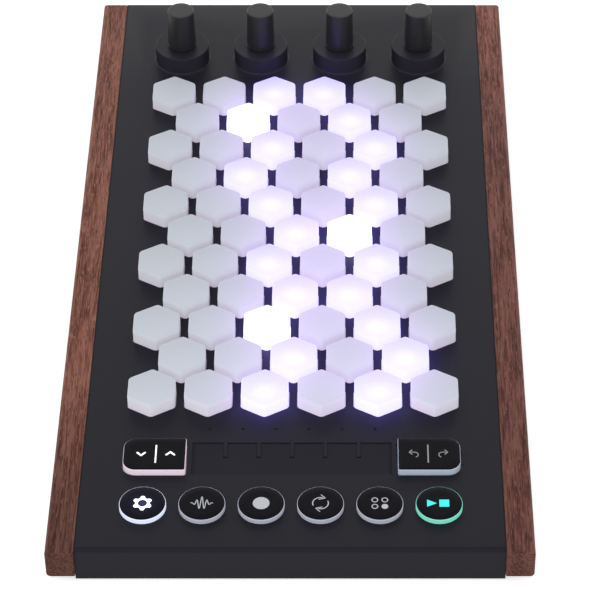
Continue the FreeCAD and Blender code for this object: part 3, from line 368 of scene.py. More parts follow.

# %% Milky plastic that carries its own light
# The keys and buttons are cloudy plastic over small lamps. The mesh carries two colours per
# point: tint, the plastic's colour with painted shading in it, and glow, what the lamps below
# add, together with painted light on keys and buttons whose lamps are off.
def milky(name, rough, lean):
    """Cloudy plastic: its tint and glow are worked out point by point on the mesh. Light soaks
    through it and softens the shading, so its sides are shaded as if they leaned upward."""
    material = lit_by(finish(name, (1.0, 1.0, 1.0), rough, 1700, 0.006, mottle=0.02,
                             mirror=0.42, veil=0.0), "glow")
    tree, shader = circuit(material)
    tinted = put(tree, "Attribute", {"attribute_name": "tint"}).outputs["Color"]
    even = shader.inputs["Base Color"].links[0].from_socket
    tree.links.new(blended(tree, 1.0, tinted, even, "MULTIPLY"), shader.inputs["Base Color"])
    facing = put(tree, "NewGeometry").outputs["Normal"]
    raised = put(tree, "VectorMath", {"operation": "ADD"}, facing, (0.0, 0.0, lean)).outputs[0]
    softened = put(tree, "VectorMath", {"operation": "NORMALIZE"}, raised).outputs[0]
    tree.links.new(softened, shader.inputs["Normal"].links[0].from_node.inputs["Normal"])
    return material


finishes["key_milk"] = milky("cloudy_key_plastic", 0.42, 1.3)
finishes["button_milk"] = milky("cloudy_button_plastic", 0.38, 0.0)
face_black = finish("printed_black_face", (0.0050, 0.0047, 0.0074), 0.34, 2600, 0.004,
                    mirror=0.065)
# The case shows painted light, stored on its points as spill.
lit_by(finishes["black_case"], "spill")
lit_by(face_black, "glow")
print("finishes that carry light: 4")


# %% Oiled wood
def cheek_finish(name, shift, near, far, dark, mid, pale):
    """Oiled wood with paler edges, part rubbed wear and part painted highlight, and painted shading
    at its ends. Each board takes its own part of the solid texture.
    """
    material, tree, shader = new_material(name, 0.12)
    board = placed(tree, wood, Shift=shift, Near=near, Far=far, Dark=paint(*dark),
                   Mid=paint(*mid), Pale=paint(*pale))
    # Paler edges: partly rubbed wear, partly a painted highlight where light catches them.
    rim = placed(tree, edges, Width=1.4 * MM, Amount=0.5)
    shown = blended(tree, rim["Mask"], board["Colour"], paint(*pale))
    dress(tree, shader, shown, board["Roughness"], board["Height"], 0.8, 0.12)
    return material


wood_left = cheek_finish("oiled_wood_left", 0.0, 0.46, 0.97, (0.052, 0.013, 0.009),
                         (0.180, 0.056, 0.035), (0.385, 0.175, 0.130))
wood_right = cheek_finish("oiled_wood_right", 0.31, 0.86, 1.45, (0.040, 0.012, 0.009),
                          (0.118, 0.037, 0.027), (0.285, 0.124, 0.100))
finishes["cheek_wood"] = wood_left
print("finishes for slots:", len(finishes))

# %% [markdown]
# ## Surfaces from arrays
# A smooth piece is a stack of closed rings: a profile says how far each ring is drawn in and how
# high it lies, and an outline says how it runs round. Both are arrays, so a whole key, knob or
# button comes from one multiplication. One function skins the rings, and one makes the object.

# %% Skins over rings
def skin(rings, ends="poles"):
    """Points and faces over rings of shape (rows, columns, 3). Rings always close on themselves.
    ends is 'poles' to close the first and last ring at their middles, or 'joined' to run on from
    the last ring to the first. The signed volume decides which way the faces look."""
    rows, columns = rings.shape[:2]
    points = rings.reshape(-1, 3)
    last_row = rows if ends == "joined" else rows - 1
    row, column = np.meshgrid(np.arange(last_row), np.arange(columns), indexing="ij")
    below, beside = (row + 1) % rows, (column + 1) % columns
    quads = np.stack([row * columns + column, row * columns + beside,
                      below * columns + beside, below * columns + column], -1).reshape(-1, 4)
    fans = np.zeros((0, 3), int)
    if ends == "poles":
        top, bottom = len(points), len(points) + 1
        points = np.vstack([points, rings[0].mean(0), rings[-1].mean(0)])
        ring = np.arange(columns)
        onward = (ring + 1) % columns
        base = (rows - 1) * columns
        first = np.stack([np.full(columns, top), onward, ring], -1)
        second = np.stack([np.full(columns, bottom), base + ring, base + onward], -1)
        fans = np.vstack([first, second])
    corners = np.vstack([quads[:, [0, 1, 2]], quads[:, [0, 2, 3]], fans])
    a, b, c = (points[corners[:, i]] for i in range(3))
    if np.einsum("ij,ij->i", a, np.cross(b, c)).sum() < 0:
        quads, fans = quads[:, ::-1], fans[:, ::-1]
    return points, quads, fans


def together(parts):
    """Several skins in one, with the numbers of later points moved up."""
    firsts = np.cumsum([0] + [len(part[0]) for part in parts[:-1]])
    quads, fans = (np.vstack([part[kind] + first for part, first in zip(parts, firsts)])
                   for kind in (1, 2))
    return np.vstack([part[0] for part in parts]), quads, fans


def shifted(shape, x, y, z=0.0):
    """The same skin, moved across the panel or up."""
    return shape[0] + np.array([x, y, z]), shape[1], shape[2]


def store_colours(mesh, title, values):
    """Stores one colour per point of a mesh under a name."""
    layer = mesh.attributes.new(title, "FLOAT_COLOR", "POINT")
    layer.data.foreach_set("color", np.insert(values, 3, 1.0, axis=1).astype(np.float32).ravel())


def piece(name, shape, material, body, stands_for=(), colours=None):
    """An object from points in millimetres. colours maps a name to one colour per point."""
    points, quads, fans = shape
    mesh = bpy.data.meshes.new(name)
    mesh.from_pydata((points * MM).tolist(), [], quads.tolist() + fans.tolist())
    for title, values in (colours or {}).items():
        store_colours(mesh, title, values)
    mesh.shade_smooth()
    mesh.set_sharp_from_angle(angle=math.radians(40.0))
    made = in_scene(name, mesh)
    made.data.materials.append(material)
    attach(made, body)
    if stands_for:
        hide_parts(*stands_for)
    return made


# %% Outlines with round corners
def rounded_path(corners, radii, arc, side):
    """A rounded outline as three arrays: a core path, an outward direction and a radius. The
    outline drawn in by some amount is core + direction * (radius - amount): on a corner the core
    stands still while the direction swings, on a side the core travels and the direction holds.
    arc and side are the numbers of points on a corner and on a side."""
    corners, radii = np.asarray(corners, float), np.asarray(radii, float)
    ways = np.roll(corners, -1, 0) - corners
    ways /= np.linalg.norm(ways, axis=1, keepdims=True)
    outward = np.stack([ways[:, 1], -ways[:, 0]], 1)
    before = np.roll(outward, 1, 0)
    centres = corners - (before + outward) * (radii / (1 + (before * outward).sum(1)))[:, None]
    cores, directions, sizes = [], [], []
    for i in range(len(corners)):
        j = (i + 1) % len(corners)
        turn = math.atan2(*before[i][[1, 0]])
        swing = math.acos(np.clip((before[i] * outward[i]).sum(), -1, 1))
        angle = turn + swing * np.linspace(0, 1, arc)
        step = np.linspace(0, 1, side + 2)[1:-1, None]
        cores += [np.repeat(centres[i][None], arc, 0), centres[i] * (1 - step) + centres[j] * step]
        directions += [np.stack([np.cos(angle), np.sin(angle)], 1),
                       np.repeat(outward[i][None], side, 0)]
        sizes += [np.full(arc, radii[i]), radii[i] * (1 - step[:, 0]) + radii[j] * step[:, 0]]
    return np.vstack(cores), np.vstack(directions), np.concatenate(sizes)


def at_height(outline, z):
    """A flat outline as a ring at one height."""
    return np.hstack([outline, np.full((len(outline), 1), z)])


def drawn_in(path, amount, z, scale=1.0):
    """One ring: the outline drawn in by an amount, shrunk about the middle, at one height."""
    core, direction, radius = path
    return at_height((core + direction * np.maximum(radius - amount, 0.02)[:, None]) * scale, z)


def round_edge(radius, steps=6):
    """A quarter round from flat to upright: pairs of (how far out, how far down)."""
    angle = np.linspace(0, math.pi / 2, steps + 1)[1:]
    return np.stack([radius * np.sin(angle), radius * (1 - np.cos(angle))], 1)


def circle(radius, x=0.0, y=0.0, start=0.0, stop=360.0, count=48):
    """Points on a circle, or on an arc of it, in degrees."""
    whole = abs(stop - start) >= 360.0
    angle = np.radians(np.linspace(start, stop, count, endpoint=not whole))
    return np.stack([x + radius * np.cos(angle), y + radius * np.sin(angle)], 1)


def turned(profile, columns=72):
    """A lathe shape: each (radius, height) of the profile becomes a ring round the Z axis."""
    return skin(np.array([at_height(circle(radius, count=columns), z) for radius, z in profile]))


HEXAGON = circle(1.0, start=90.0, stop=450.0, count=6)
print("a hexagon has", len(HEXAGON), "corners, the first at the rear")

# %% [markdown]
# ## The key field
# A key is a hollow milky cap with soft top edges, a lip below the panel that holds it in, and a
# stem that rests over its rubber dome. One profile, carried round a rounded hexagon, makes the
# whole closed cap. The keys of a row are one piece, because the row moves as one body.

# %% Key sizes
KEY_PITCH, KEY_FLATS, KEY_CORNER, KEY_EDGE = 24.7, 20.65, 2.0, 1.4
PANEL_TOP, KEY_TOP, LIP_TOP, LIP_BOTTOM, STEM_BOTTOM = 18.6, 25.5, 16.3, 15.1, 10.9
CAP_WALL, CAP_ROOF, KEY_LIP, KEY_STEM_R = 1.6, 1.8, 0.9, 5.0
ROW_PITCH, ROWS = 21.22, 11
LAST_ROW_Y = middle("key_row_1")[1]
FRONT_ROW_Y = LAST_ROW_Y - (ROWS - 1) * ROW_PITCH


def key_skin():
    """One cap at the origin. The rings run from the middle of the top, over the round edge,
    down the side, round the lip, up inside, and down the stem to its foot."""
    path = rounded_path(HEXAGON * KEY_FLATS / math.sqrt(3), [KEY_CORNER] * 6, 5, 6)
    roof = KEY_TOP - CAP_ROOF
    rings = [drawn_in(path, KEY_EDGE, KEY_TOP, s) for s in np.linspace(0.1, 1.0, 10)]
    rings += [drawn_in(path, KEY_EDGE - out, KEY_TOP - down) for out, down in round_edge(KEY_EDGE)]
    rings += [drawn_in(path, 0.0, z) for z in (22.8, 21.4, 20.0, 18.9, 17.6, LIP_TOP)]
    rings += [drawn_in(path, -KEY_LIP, z) for z in (LIP_TOP, LIP_BOTTOM)]
    rings += [drawn_in(path, CAP_WALL, z) for z in (LIP_BOTTOM, roof)]
    along = rings[0][:, :2] / np.linalg.norm(rings[0][:, :2], axis=1, keepdims=True)
    rings += [at_height(along * KEY_STEM_R, z) for z in (roof, STEM_BOTTOM)]
    return skin(np.array(rings))


one_key = key_skin()
print("points in one key:", len(one_key[0]))

# %% [markdown]
# ## Which keys shine
# The lamps below the keys show a seven-note scale. One key to the right is one semitone up, and
# one key back and half a key left or right is a larger step, so the lit keys make a slanting
# pattern. The rule below gives each key its note, and the keys in the middle columns whose note
# belongs to the scale are lit. The keynote shines brightest.

# %% The scale that the lamps show
MAJOR_SCALE = (0, 2, 4, 5, 7, 9, 11)
STEP_PER_ROW, FIRST_NOTE = 3.5, 9


def key_columns(row):
    """Where the keys of a row stand, in pitches from the first key of a long row. Rows count
    from the rear, and the even ones are long."""
    return np.arange(6 - row % 2) + 0.5 * (row % 2)


def key_centres(row):
    """Key centres of one row."""
    x = (key_columns(row) - 2.5) * KEY_PITCH
    return np.stack([x, np.full(len(x), LAST_ROW_Y - row * ROW_PITCH)], 1)


def lamp_levels(row):
    """0 for a dark key, 1 for a note of the scale, 2 for the keynote."""
    column = key_columns(row)
    note = np.round((column + STEP_PER_ROW * (ROWS - 1 - row) - FIRST_NOTE) % 12)
    lit = np.isin(note.astype(int), MAJOR_SCALE) & (column >= 1.5) & (column <= 4.5)
    return np.where(lit, np.where(note == 0, 2, 1), 0)


centres = np.vstack([key_centres(r) for r in range(ROWS)])
levels = np.concatenate([lamp_levels(r) for r in range(ROWS)])
lit_centres, lit_levels = centres[levels > 0], levels[levels > 0]
print("keys:", len(centres), "lit:", len(lit_centres), "keynotes:", int((levels == 2).sum()))

# %% [markdown]
# ## Light inside milky plastic
# A lamp makes a soft white core on its own key, a little in front of the key's middle, and
# tints the keys round it. What it adds to its neighbours is painted light that fades with
# distance, and it is violet, because the cloudy plastic lets that through from the side. The
# cap is a cool pale grey with painted shading: warmer down the sides, lighter in the front rows
# and darker to the rear of each cap. The sides carry a little painted light, most of all in the
# front row, and the lit keys of the last row shine violet down their rear sides.

# %% Ramps and bells
def ramp(value, start, stop):
    """0 before start, 1 past stop, and a straight line between."""
    return np.clip((value - start) / (stop - start), 0, 1)


def bell(distance, size):
    """A bell curve: 1 in the middle, and 1 / e at a distance of one size."""
    return np.exp(-(distance / size) ** 2)


# %% Tint and glow of a key
# The side tint is painted shading. So are the two factors on the next lines that make the front
# rows lighter and each cap darker towards its rear.
DAY_TINT, PAINTED_SIDE_TINT = np.array([0.648, 0.695, 0.766]), np.array([0.735, 0.710, 0.765])
EVEN_SHADE, FRONT_PAINTED_LIGHT, REAR_PAINTED_SHADE_PER_MM = 0.97, 0.06, 0.0075
PAINTED_LIGHT_FROM_Y, PAINTED_LIGHT_TO_Y = -20.0, -93.0
# Painted light: stray light on the keys round a lit one, and light on the key sides.
STRAY_PAINTED_LIGHT, STRAY_REACH = np.array([0.456, 0.2352, 0.768]), 9.0
NOTE_STRAY, OPEN_STRAY, LIT_STRAY, SIDE_STRAY_LOSS = 1.3, 1.4, 0.55, 0.35
SIDE_PAINTED_LIGHT, CLOSED_SIDE, SIDE_DEPTH_LOSS = np.array([0.205, 0.185, 0.215]), 0.75, 0.3
LIT_GLOW, LIT_SIDE_GLOW = np.array([0.35, 0.28, 0.62]), np.array([-0.01, 0.04, 0.0])
CORE_GLOW, CORE_AHEAD, CORE_SIZE = np.array([0.15, 0.16, 0.16]), 3.0, 4.6
REAR_LOSS, REAR_SIDE_GLOW = np.array([0.12, 0.12, 0.06]), np.array([0.3, 0.12, 2.2])
NOTE_GLOW = np.array([0.60, 0.56, 1.0])


def key_colours(points, centre, level):
    """Tint and glow for every point of one key. depth runs down the side, below jumps from 0 on
    the top to 1 on the side, and back is the distance behind the key's middle."""
    x, y, z = points.T
    depth = ramp(z, KEY_TOP - 0.5, PANEL_TOP - 0.5)[:, None]
    below = ramp(z, KEY_TOP - 0.1, KEY_TOP - 1.3)[:, None]
    back = (y - centre[1])[:, None]
    front_row, rear_row = centre[1] < FRONT_ROW_Y + 1, centre[1] > LAST_ROW_Y - 1
    # Painted light and shade: the front rows are made lighter and each cap darker towards its rear.
    shade = EVEN_SHADE + FRONT_PAINTED_LIGHT * ramp(centre[1], PAINTED_LIGHT_FROM_Y, PAINTED_LIGHT_TO_Y) - REAR_PAINTED_SHADE_PER_MM * back
    tint = (DAY_TINT * (1 - depth) + PAINTED_SIDE_TINT * depth) * shade
    away = np.hypot(x[:, None] - lit_centres[:, 0], y[:, None] - lit_centres[:, 1])
    others = np.hypot(*(lit_centres - centre).T) > 1.0
    power = np.where(lit_levels == 2, NOTE_STRAY, 1.0) * others
    stray = (np.exp(-away / STRAY_REACH) * power).sum(1)[:, None] * (LIT_STRAY if level else 1.0)
    stray = stray * (OPEN_STRAY if front_row else 1 - SIDE_STRAY_LOSS * below)
    side = (1.0 if front_row else CLOSED_SIDE) * below * (1 - SIDE_DEPTH_LOSS * depth)
    # Stray light and side light are painted light. A lit key's own glow below comes from its lamp.
    glow = STRAY_PAINTED_LIGHT * stray + SIDE_PAINTED_LIGHT * side
    if level:
        core = bell(np.hypot(x - centre[0], y - centre[1] + CORE_AHEAD), CORE_SIZE)[:, None]
        glow = glow + LIT_GLOW + CORE_GLOW * core + LIT_SIDE_GLOW * below
        glow = glow - REAR_LOSS * ramp(back, -4.0, 10.0)
    if level and rear_row:
        glow = glow + REAR_SIDE_GLOW * ramp(back, 5.0, 8.0) * below
    if level == 2:
        glow = glow + NOTE_GLOW
    return tint, glow


for row in range(ROWS):
    caps = [shifted(one_key, *centre) for centre in key_centres(row)]
    looks = [key_colours(cap[0], centre, level)
             for cap, centre, level in zip(caps, key_centres(row), lamp_levels(row))]
    tints, glows = (np.vstack(colours) for colours in zip(*looks))
    name = f"key_row_{row + 1}"
    piece("milky_" + name, together(caps), finishes["key_milk"], name, [name],
          {"tint": tints, "glow": glows})
print("rows of keys:", ROWS)

# %% [markdown]
# ## Round buttons
# Each button is a milky drum with a black printed face on top. The face leaves a thin bright
# rim, and a small pictogram is left clear in the print, so that light can pass. The pictograms
# here are plain signs of our own drawing: a gear, a wave, a dot, a loop, four rings, and play
# with stop. They are thin closed plates that stand a hair above the face.

# %% Button sizes and bodies
BUTTON_PITCH, BUTTON_R, BUTTON_EDGE = 24.9, 9.85, 0.28
BUTTON_RIM, BUTTON_LIP, BUTTON_STEM_R = 0.21, 1.0, 3.6
FACE_PROUD, FACE_SUNK, FACE_EDGE = 0.06, 0.05, 0.12
BUTTON_Y, BUTTON_FACE = middle("round_button_1")[1], reach("round_button_1")[1][2]
BUTTON_TOP = BUTTON_FACE - FACE_PROUD


def button_body():
    """The drum from the middle of its top, over its edge, round its lip and down its stem."""
    flat_r, wall_top, roof = BUTTON_R - BUTTON_EDGE, BUTTON_TOP - 0.6, BUTTON_TOP - CAP_ROOF
    profile = [(r, BUTTON_TOP) for r in (2.0, 5.0, 8.0, flat_r)]
    profile += [(flat_r + out, BUTTON_TOP - down) for out, down in round_edge(BUTTON_EDGE, 4)]
    profile += [(BUTTON_R, z) for z in (*np.linspace(wall_top, PANEL_TOP, 4), LIP_TOP)]
    profile += [(BUTTON_R + BUTTON_LIP, z) for z in (LIP_TOP, LIP_BOTTOM)]
    profile += [(BUTTON_R - CAP_WALL, z) for z in (LIP_BOTTOM, roof)]
    return turned(profile + [(BUTTON_STEM_R, z) for z in (roof, STEM_BOTTOM)])


def button_face():
    """A thin black disc with a soft edge, let into the drum."""
    flat_r = BUTTON_R - BUTTON_RIM - FACE_EDGE
    profile = [(r, BUTTON_FACE) for r in (1.0, 2.0, 3.0, 4.5, 6.5, flat_r)]
    profile += [(flat_r + out, BUTTON_FACE - down) for out, down in round_edge(FACE_EDGE, 3)]
    return turned(profile + [(flat_r + FACE_EDGE, BUTTON_TOP - FACE_SUNK)])


def dressed(name, shapes, names, place, sign_top, looks, halo=None):
    """A control in three pieces on its own body: a milky cap, a black face and a sign. The cap
    and the sign each have one tint and one glow all over, and the face may have a halo."""
    cap, face = (shifted(shape, *place) for shape in shapes[:2])
    sign = shifted(shapes[2], *place, sign_top)
    cap_look, sign_look = ({"tint": np.tile(tint, (len(shape[0]), 1)),
                            "glow": np.tile(glow, (len(shape[0]), 1))}
                           for shape, (tint, glow) in zip((cap, sign), looks))
    piece(names[0], cap, finishes["button_milk"], name, [name], cap_look)
    piece("face_" + name, face, face_black, name, colours=halo)
    piece(names[1], sign, finishes["button_milk"], name, colours=sign_look)


print("a button is", 2 * BUTTON_R, "mm wide")

# %% Strokes and plates for the signs
SIGN_PROUD, SIGN_THICK = 0.03, 0.08


def stroke(path, width):
    """A flat bar along a path: a thin rectangle carried from point to point. Its ends narrow
    along a half circle, so they look round."""
    way = np.gradient(path, axis=0)
    way /= np.linalg.norm(way, axis=1, keepdims=True)
    run = np.concatenate([[0], np.cumsum(np.linalg.norm(np.diff(path, axis=0), axis=1))])
    inside = np.clip(1 - np.minimum(run, run[-1] - run) / (width / 2), 0, 1)
    half = width / 2 * np.sqrt(np.maximum(1 - inside ** 2, 0.02))
    across = np.stack([-way[:, 1], way[:, 0]], 1) * half[:, None]
    left, right = path + across, path - across
    return skin(np.stack([at_height(left, 0.0), at_height(right, 0.0),
                          at_height(right, -SIGN_THICK), at_height(left, -SIGN_THICK)], 1))


def plate(outline):
    """A flat plate inside a star-shaped outline, closed at the middle above and below."""
    return skin(np.array([at_height(outline, 0.0), at_height(outline, -SIGN_THICK)]))


def band(outer, inner):
    """A flat band between an outer and an inner outline with as many points."""
    rings = [at_height(outer, 0.0), at_height(inner, 0.0),
             at_height(inner, -SIGN_THICK), at_height(outer, -SIGN_THICK)]
    return skin(np.array(rings), "joined")


def line(*corners):
    """Points along straight runs between corners, about 0.12 mm apart."""
    corners = np.asarray(corners, float)
    runs = []
    for a, b in zip(corners[:-1], corners[1:]):
        count = max(2, int(np.linalg.norm(b - a) / 0.12))
        runs.append(a + (b - a) * np.linspace(0, 1, count, endpoint=False)[:, None])
    return np.vstack(runs + [corners[-1:]])


# %% The six signs
def gear_sign():
    """Six soft teeth: the radius follows a flattened cosine, round a round hole."""
    angle = np.radians(np.linspace(0, 360, 144, endpoint=False))
    wave = np.tanh(1.3 * np.cos(6 * (angle - math.pi / 2))) / math.tanh(1.3)
    return band(circle(1.0, count=144) * (3.6 + 0.58 * wave)[:, None], circle(1.95, count=144))


def wave_sign():
    """A short burst: a cosine under a bell curve."""
    x = np.linspace(-4.7, 4.7, 240)
    return stroke(np.stack([x, 3.7 * bell(x, 2.5) * np.cos(2 * math.pi * x / 2.15)], 1), 0.40)


def loop_sign():
    """Two arcs that chase each other, each with an open arrow head."""
    arc = circle(3.3, start=205, stop=72, count=40)
    head = line((0.1, 5.0), (2.0, 2.95), (-0.85, 2.2))
    return together([stroke(path * way, width) for way in (1, -1)
                     for path, width in ((arc, 0.46), (head, 0.42))])


def rings_sign():
    """Three rings and one full disc in a square."""
    rings = [band(circle(1.42, x, y), circle(0.98, x, y))
             for x, y in ((-2.1, 1.9), (2.1, 1.9), (-2.1, -1.9))]
    return together(rings + [plate(circle(1.42, 2.1, -1.9))])


def play_sign():
    """A triangle and a square side by side."""
    triangle = line((-5.1, 2.05), (-5.1, -2.05), (-0.95, 0.0), (-5.1, 2.05))[:-1]
    square = line((0.05, 2.05), (0.05, -2.05), (4.2, -2.05), (4.2, 2.05), (0.05, 2.05))[:-1]
    return together([plate(triangle), plate(square)])


print("points in the gear sign:", len(gear_sign()[0]))

# %% Lay the six buttons out
# A look is a tint and a glow. The gear button is lit white and the play button green. The glow
# of the unlit drums is painted light that lifts their shadowed sides.
UNLIT_BUTTON_PAINTED_LIGHT = ((0.60, 0.62, 0.70), (0.05, 0.06, 0.08))
GREY_SIGN = ((0.61, 0.635, 0.68), (0.0, 0.0, 0.0))
PALE_SIGN = ((0.36, 0.37, 0.39), (0.0, 0.0, 0.0))
# The halo is painted light: the lit gear drum's light spread over its black face.
NEAR_HALO, NEAR_HALO_R = np.array([0.035, 0.030, 0.17]), 2.6
WIDE_HALO, WIDE_HALO_R = np.array([0.004, 0.003, 0.018]), 6.0
buttons = [
    ("gear", gear_sign(), ((0.66, 0.68, 0.76), (0.42, 0.47, 0.62)),
     ((0.7, 0.7, 0.75), (1.3, 1.3, 1.6))),
    ("wave", wave_sign(), UNLIT_BUTTON_PAINTED_LIGHT, GREY_SIGN),
    ("dot", plate(circle(3.52)), UNLIT_BUTTON_PAINTED_LIGHT, GREY_SIGN),
    ("loop", loop_sign(), UNLIT_BUTTON_PAINTED_LIGHT, GREY_SIGN),
    ("rings", rings_sign(), UNLIT_BUTTON_PAINTED_LIGHT, GREY_SIGN),
    ("play", play_sign(), ((0.20, 0.50, 0.42), (0.10, 0.42, 0.32)),
     ((0.02, 0.4, 0.36), (0.03, 0.70, 0.60))),
]
for number, (title, sign, *looks) in enumerate(buttons, 1):
    name, face = f"round_button_{number}", button_face()
    out = np.hypot(face[0][:, 0], face[0][:, 1])[:, None]
    halo = NEAR_HALO * bell(out, NEAR_HALO_R) + WIDE_HALO * bell(out, WIDE_HALO_R)
    dressed(name, (button_body(), face, sign), ("drum_" + name, f"{title}_sign_{number}"),
            ((number - 3.5) * BUTTON_PITCH, BUTTON_Y), BUTTON_FACE + SIGN_PROUD, looks,
            {"glow": halo * (title == "gear")})
print("round buttons:", len(buttons))

# %% [markdown]
# ## Rocker buttons
# The two rockers are built like the round buttons, but their outline is a D: two large corners
# face outward and two small ones face the touch strip. The same ring method carries one profile
# round that outline.

# %% Rocker sizes and bodies
ROCKER_WIDE, ROCKER_DEEP, ROCKER_RIM = 26.7, 19.3, 0.16
LARGE_CORNER, SMALL_CORNER = 5.6, 0.9
ROCKER_X, ROCKER_Y, _ = middle("right_rocker")
ROCKER_FACE = reach("right_rocker")[1][2]
ROCKER_TOP = ROCKER_FACE - FACE_PROUD


def rocker_path(side):
    """The D outline: its large corners on the side that looks outward."""
    half, deep = ROCKER_WIDE / 2, ROCKER_DEEP / 2
    corners = [(-half, -deep), (half, -deep), (half, deep), (-half, deep)]
    left, right = (LARGE_CORNER, SMALL_CORNER) if side < 0 else (SMALL_CORNER, LARGE_CORNER)
    return rounded_path(corners, [left, right, right, left], 14, 10)


def rocker_body(side):
    """The cap: top, soft edge, wall, and back up inside to a flat roof."""
    path, edge = rocker_path(side), BUTTON_EDGE
    foot, roof = PANEL_TOP - 2.0, ROCKER_TOP - CAP_ROOF
    rings = [drawn_in(path, edge, ROCKER_TOP, s) for s in (0.2, 0.5, 0.8, 1.0)]
    rings += [drawn_in(path, edge - out, ROCKER_TOP - down) for out, down in round_edge(edge, 4)]
    rings += [drawn_in(path, 0.0, z) for z in np.linspace(ROCKER_TOP - 0.6, foot, 5)]
    rings += [drawn_in(path, CAP_WALL, foot)]
    rings += [drawn_in(path, CAP_WALL, roof, s) for s in (1.0, 0.6, 0.2)]
    return skin(np.array(rings))


def rocker_face(side):
    """The black print: the same outline, drawn in to leave a thin bright rim."""
    path, inset = rocker_path(side), ROCKER_RIM + FACE_EDGE
    rings = [drawn_in(path, inset, ROCKER_FACE, s) for s in (0.2, 0.5, 0.8, 1.0)]
    rings += [drawn_in(path, inset - out, ROCKER_FACE - down)
              for out, down in round_edge(FACE_EDGE, 3)]
    rings += [drawn_in(path, ROCKER_RIM, ROCKER_TOP - FACE_SUNK)]
    return skin(np.array(rings))


# %% Rocker signs
def step_signs():
    """A chevron down, a bar, and a chevron up."""
    return together([stroke(line((-7.6, 1.0), (-5.7, -0.95), (-3.8, 1.0)), 0.85),
                     stroke(line((4.8, -0.85), (6.8, 1.1), (8.8, -0.85)), 0.85),
                     stroke(line((0.6, -5.4), (0.6, 5.4)), 0.65)])


def turn_signs():
    """A bar between two hooked arrows, one back and one forward."""
    hook = np.vstack([line((-1.6, 0.9), (0.3, 0.9)), circle(1.5, 0.35, -0.6, 85, -75, 30)])
    head = line((-0.6, 2.35), (-2.0, 0.9), (-0.6, -0.55))
    arrows = [stroke(path * [-side, 1.0] + [side * 6.25 - 0.3, 0.1], 0.42)
              for side in (-1, 1) for path in (hook, head)]
    return together([stroke(line((-0.5, -5.4), (-0.5, 5.6)), 0.6), *arrows])


rockers = [
    ("left_rocker", -1, step_signs(), ((0.72, 0.66, 0.72), (0.37, 0.28, 0.335)),
     ((0.7, 0.7, 0.72), (0.9, 0.9, 0.95))),
    # The right rocker is unlit: its glow is painted light that lifts its shadowed sides.
    ("right_rocker", 1, turn_signs(), ((0.62, 0.66, 0.74), (0.065, 0.08, 0.125)), PALE_SIGN),
]
for name, side, signs, *looks in rockers:
    dressed(name, (rocker_body(side), rocker_face(side), signs), ("cap_" + name, "signs_" + name),
            (side * ROCKER_X, ROCKER_Y), ROCKER_FACE + SIGN_PROUD, looks)
print("rockers:", len(rockers))

# %% [markdown]
# ## Fine painted shadows
# Two kinds of painted shadow are too thin for the frame: the shade beside the ribs and at both
# ends of the touch strip, and the shade in the seam where the case meets each cheek. They are
# thin dark bars.

# %% Painted shadow lines of the strip and the seams
RIB_PITCH, RIB_HALF, RIB_LENGTH, SHADOW_WIDTH = 14.27, 0.6, 8.1, 0.34
PROUD, SUNK = 0.02, 0.1
(_, strip_front, _), (strip_half, strip_rear, strip_top) = reach("touch_strip")
# Painted shadow: dark bars stand in for the shade beside the ribs, at the strip's ends and in the
# cheek seams.
painted_shadow = finish("painted_shadow_line", (0.0090, 0.0078, 0.0122), 0.5, 1500, 0.004, mirror=0.09)


def bar(x0, x1, y0, y1, z0, z1):
    """A block with four upright sides."""
    ring = [(x0, y0), (x1, y0), (x1, y1), (x0, y1)]
    return skin(np.array([at_height(ring, z) for z in (z1, z0)]))


rib_shadows, seam_shadows = [], []
for side in (-1, 1):
    for rib in range(-2, 3):
        near = rib * RIB_PITCH + side * (RIB_HALF + 0.01)
        rib_shadows.append(bar(near, near + side * SHADOW_WIDTH, strip_rear - RIB_LENGTH - 0.3,
                           strip_rear + 1.3, strip_top - SUNK, PANEL_TOP + PROUD))
    rib_shadows.append(bar(side * (strip_half + 0.03), side * (strip_half - 1.3), strip_front,
                       strip_rear, strip_top - SUNK, strip_top + PROUD))
    seam_shadows.append(bar(side * (CASE_HALF - 0.02), side * (CASE_HALF - 0.6), FRONT + 2.2, REAR - 2.2,
                     PANEL_TOP - SUNK, PANEL_TOP + PROUD))
piece("strip_painted_shadows", together(rib_shadows), painted_shadow, "case")
piece("cheek_seam_shadows", together(seam_shadows), painted_shadow, "case")
print("dark lines:", len(rib_shadows) + len(seam_shadows))

# %% [markdown]
# ## Knobs
# The knobs are smooth, slightly tapered cylinders with a soft top edge and a shallow groove
# round the foot. A lathe profile gives them, hollow below, where they clear the nut.

# %% Turn the knobs
KNOB_PITCH, KNOB_Y, KNOBS = 39.4, middle("knob_1")[1], 4
KNOB_FOOT, KNOB_TOP = reach("knob_1")[0][2], reach("knob_1")[1][2]
KNOB_FOOT_R, KNOB_TOP_R, KNOB_EDGE = 7.0, 6.5, 0.4
KNOB_GROOVE = ((6.94, 0.70), (6.65, 0.64), (6.65, 0.41), (6.94, 0.35), (7.0, 0.28), (7.0, 0.08),
               (6.92, 0.0))
KNOB_INSIDE = ((5.3, 0.0), (5.25, 2.8), (2.55, 2.8), (2.55, 13.1))


def knob_profile():
    """From the middle of the top over the edge, down the taper, round the groove, and inside."""
    height = KNOB_TOP - KNOB_FOOT

    def taper(up):
        return KNOB_FOOT_R + (KNOB_TOP_R - KNOB_FOOT_R) * up / height

    top_r = taper(height - KNOB_EDGE) - KNOB_EDGE
    profile = [(r, height) for r in (1.5, 3.0, 4.5, top_r)]
    profile += [(top_r + out, height - down) for out, down in round_edge(KNOB_EDGE, 8)]
    profile += [(taper(up), up) for up in (16.9, 12.9, 8.9, 4.9, 1.9, 0.85)]
    return [(radius, KNOB_FOOT + up) for radius, up in [*profile, *KNOB_GROOVE, *KNOB_INSIDE]]


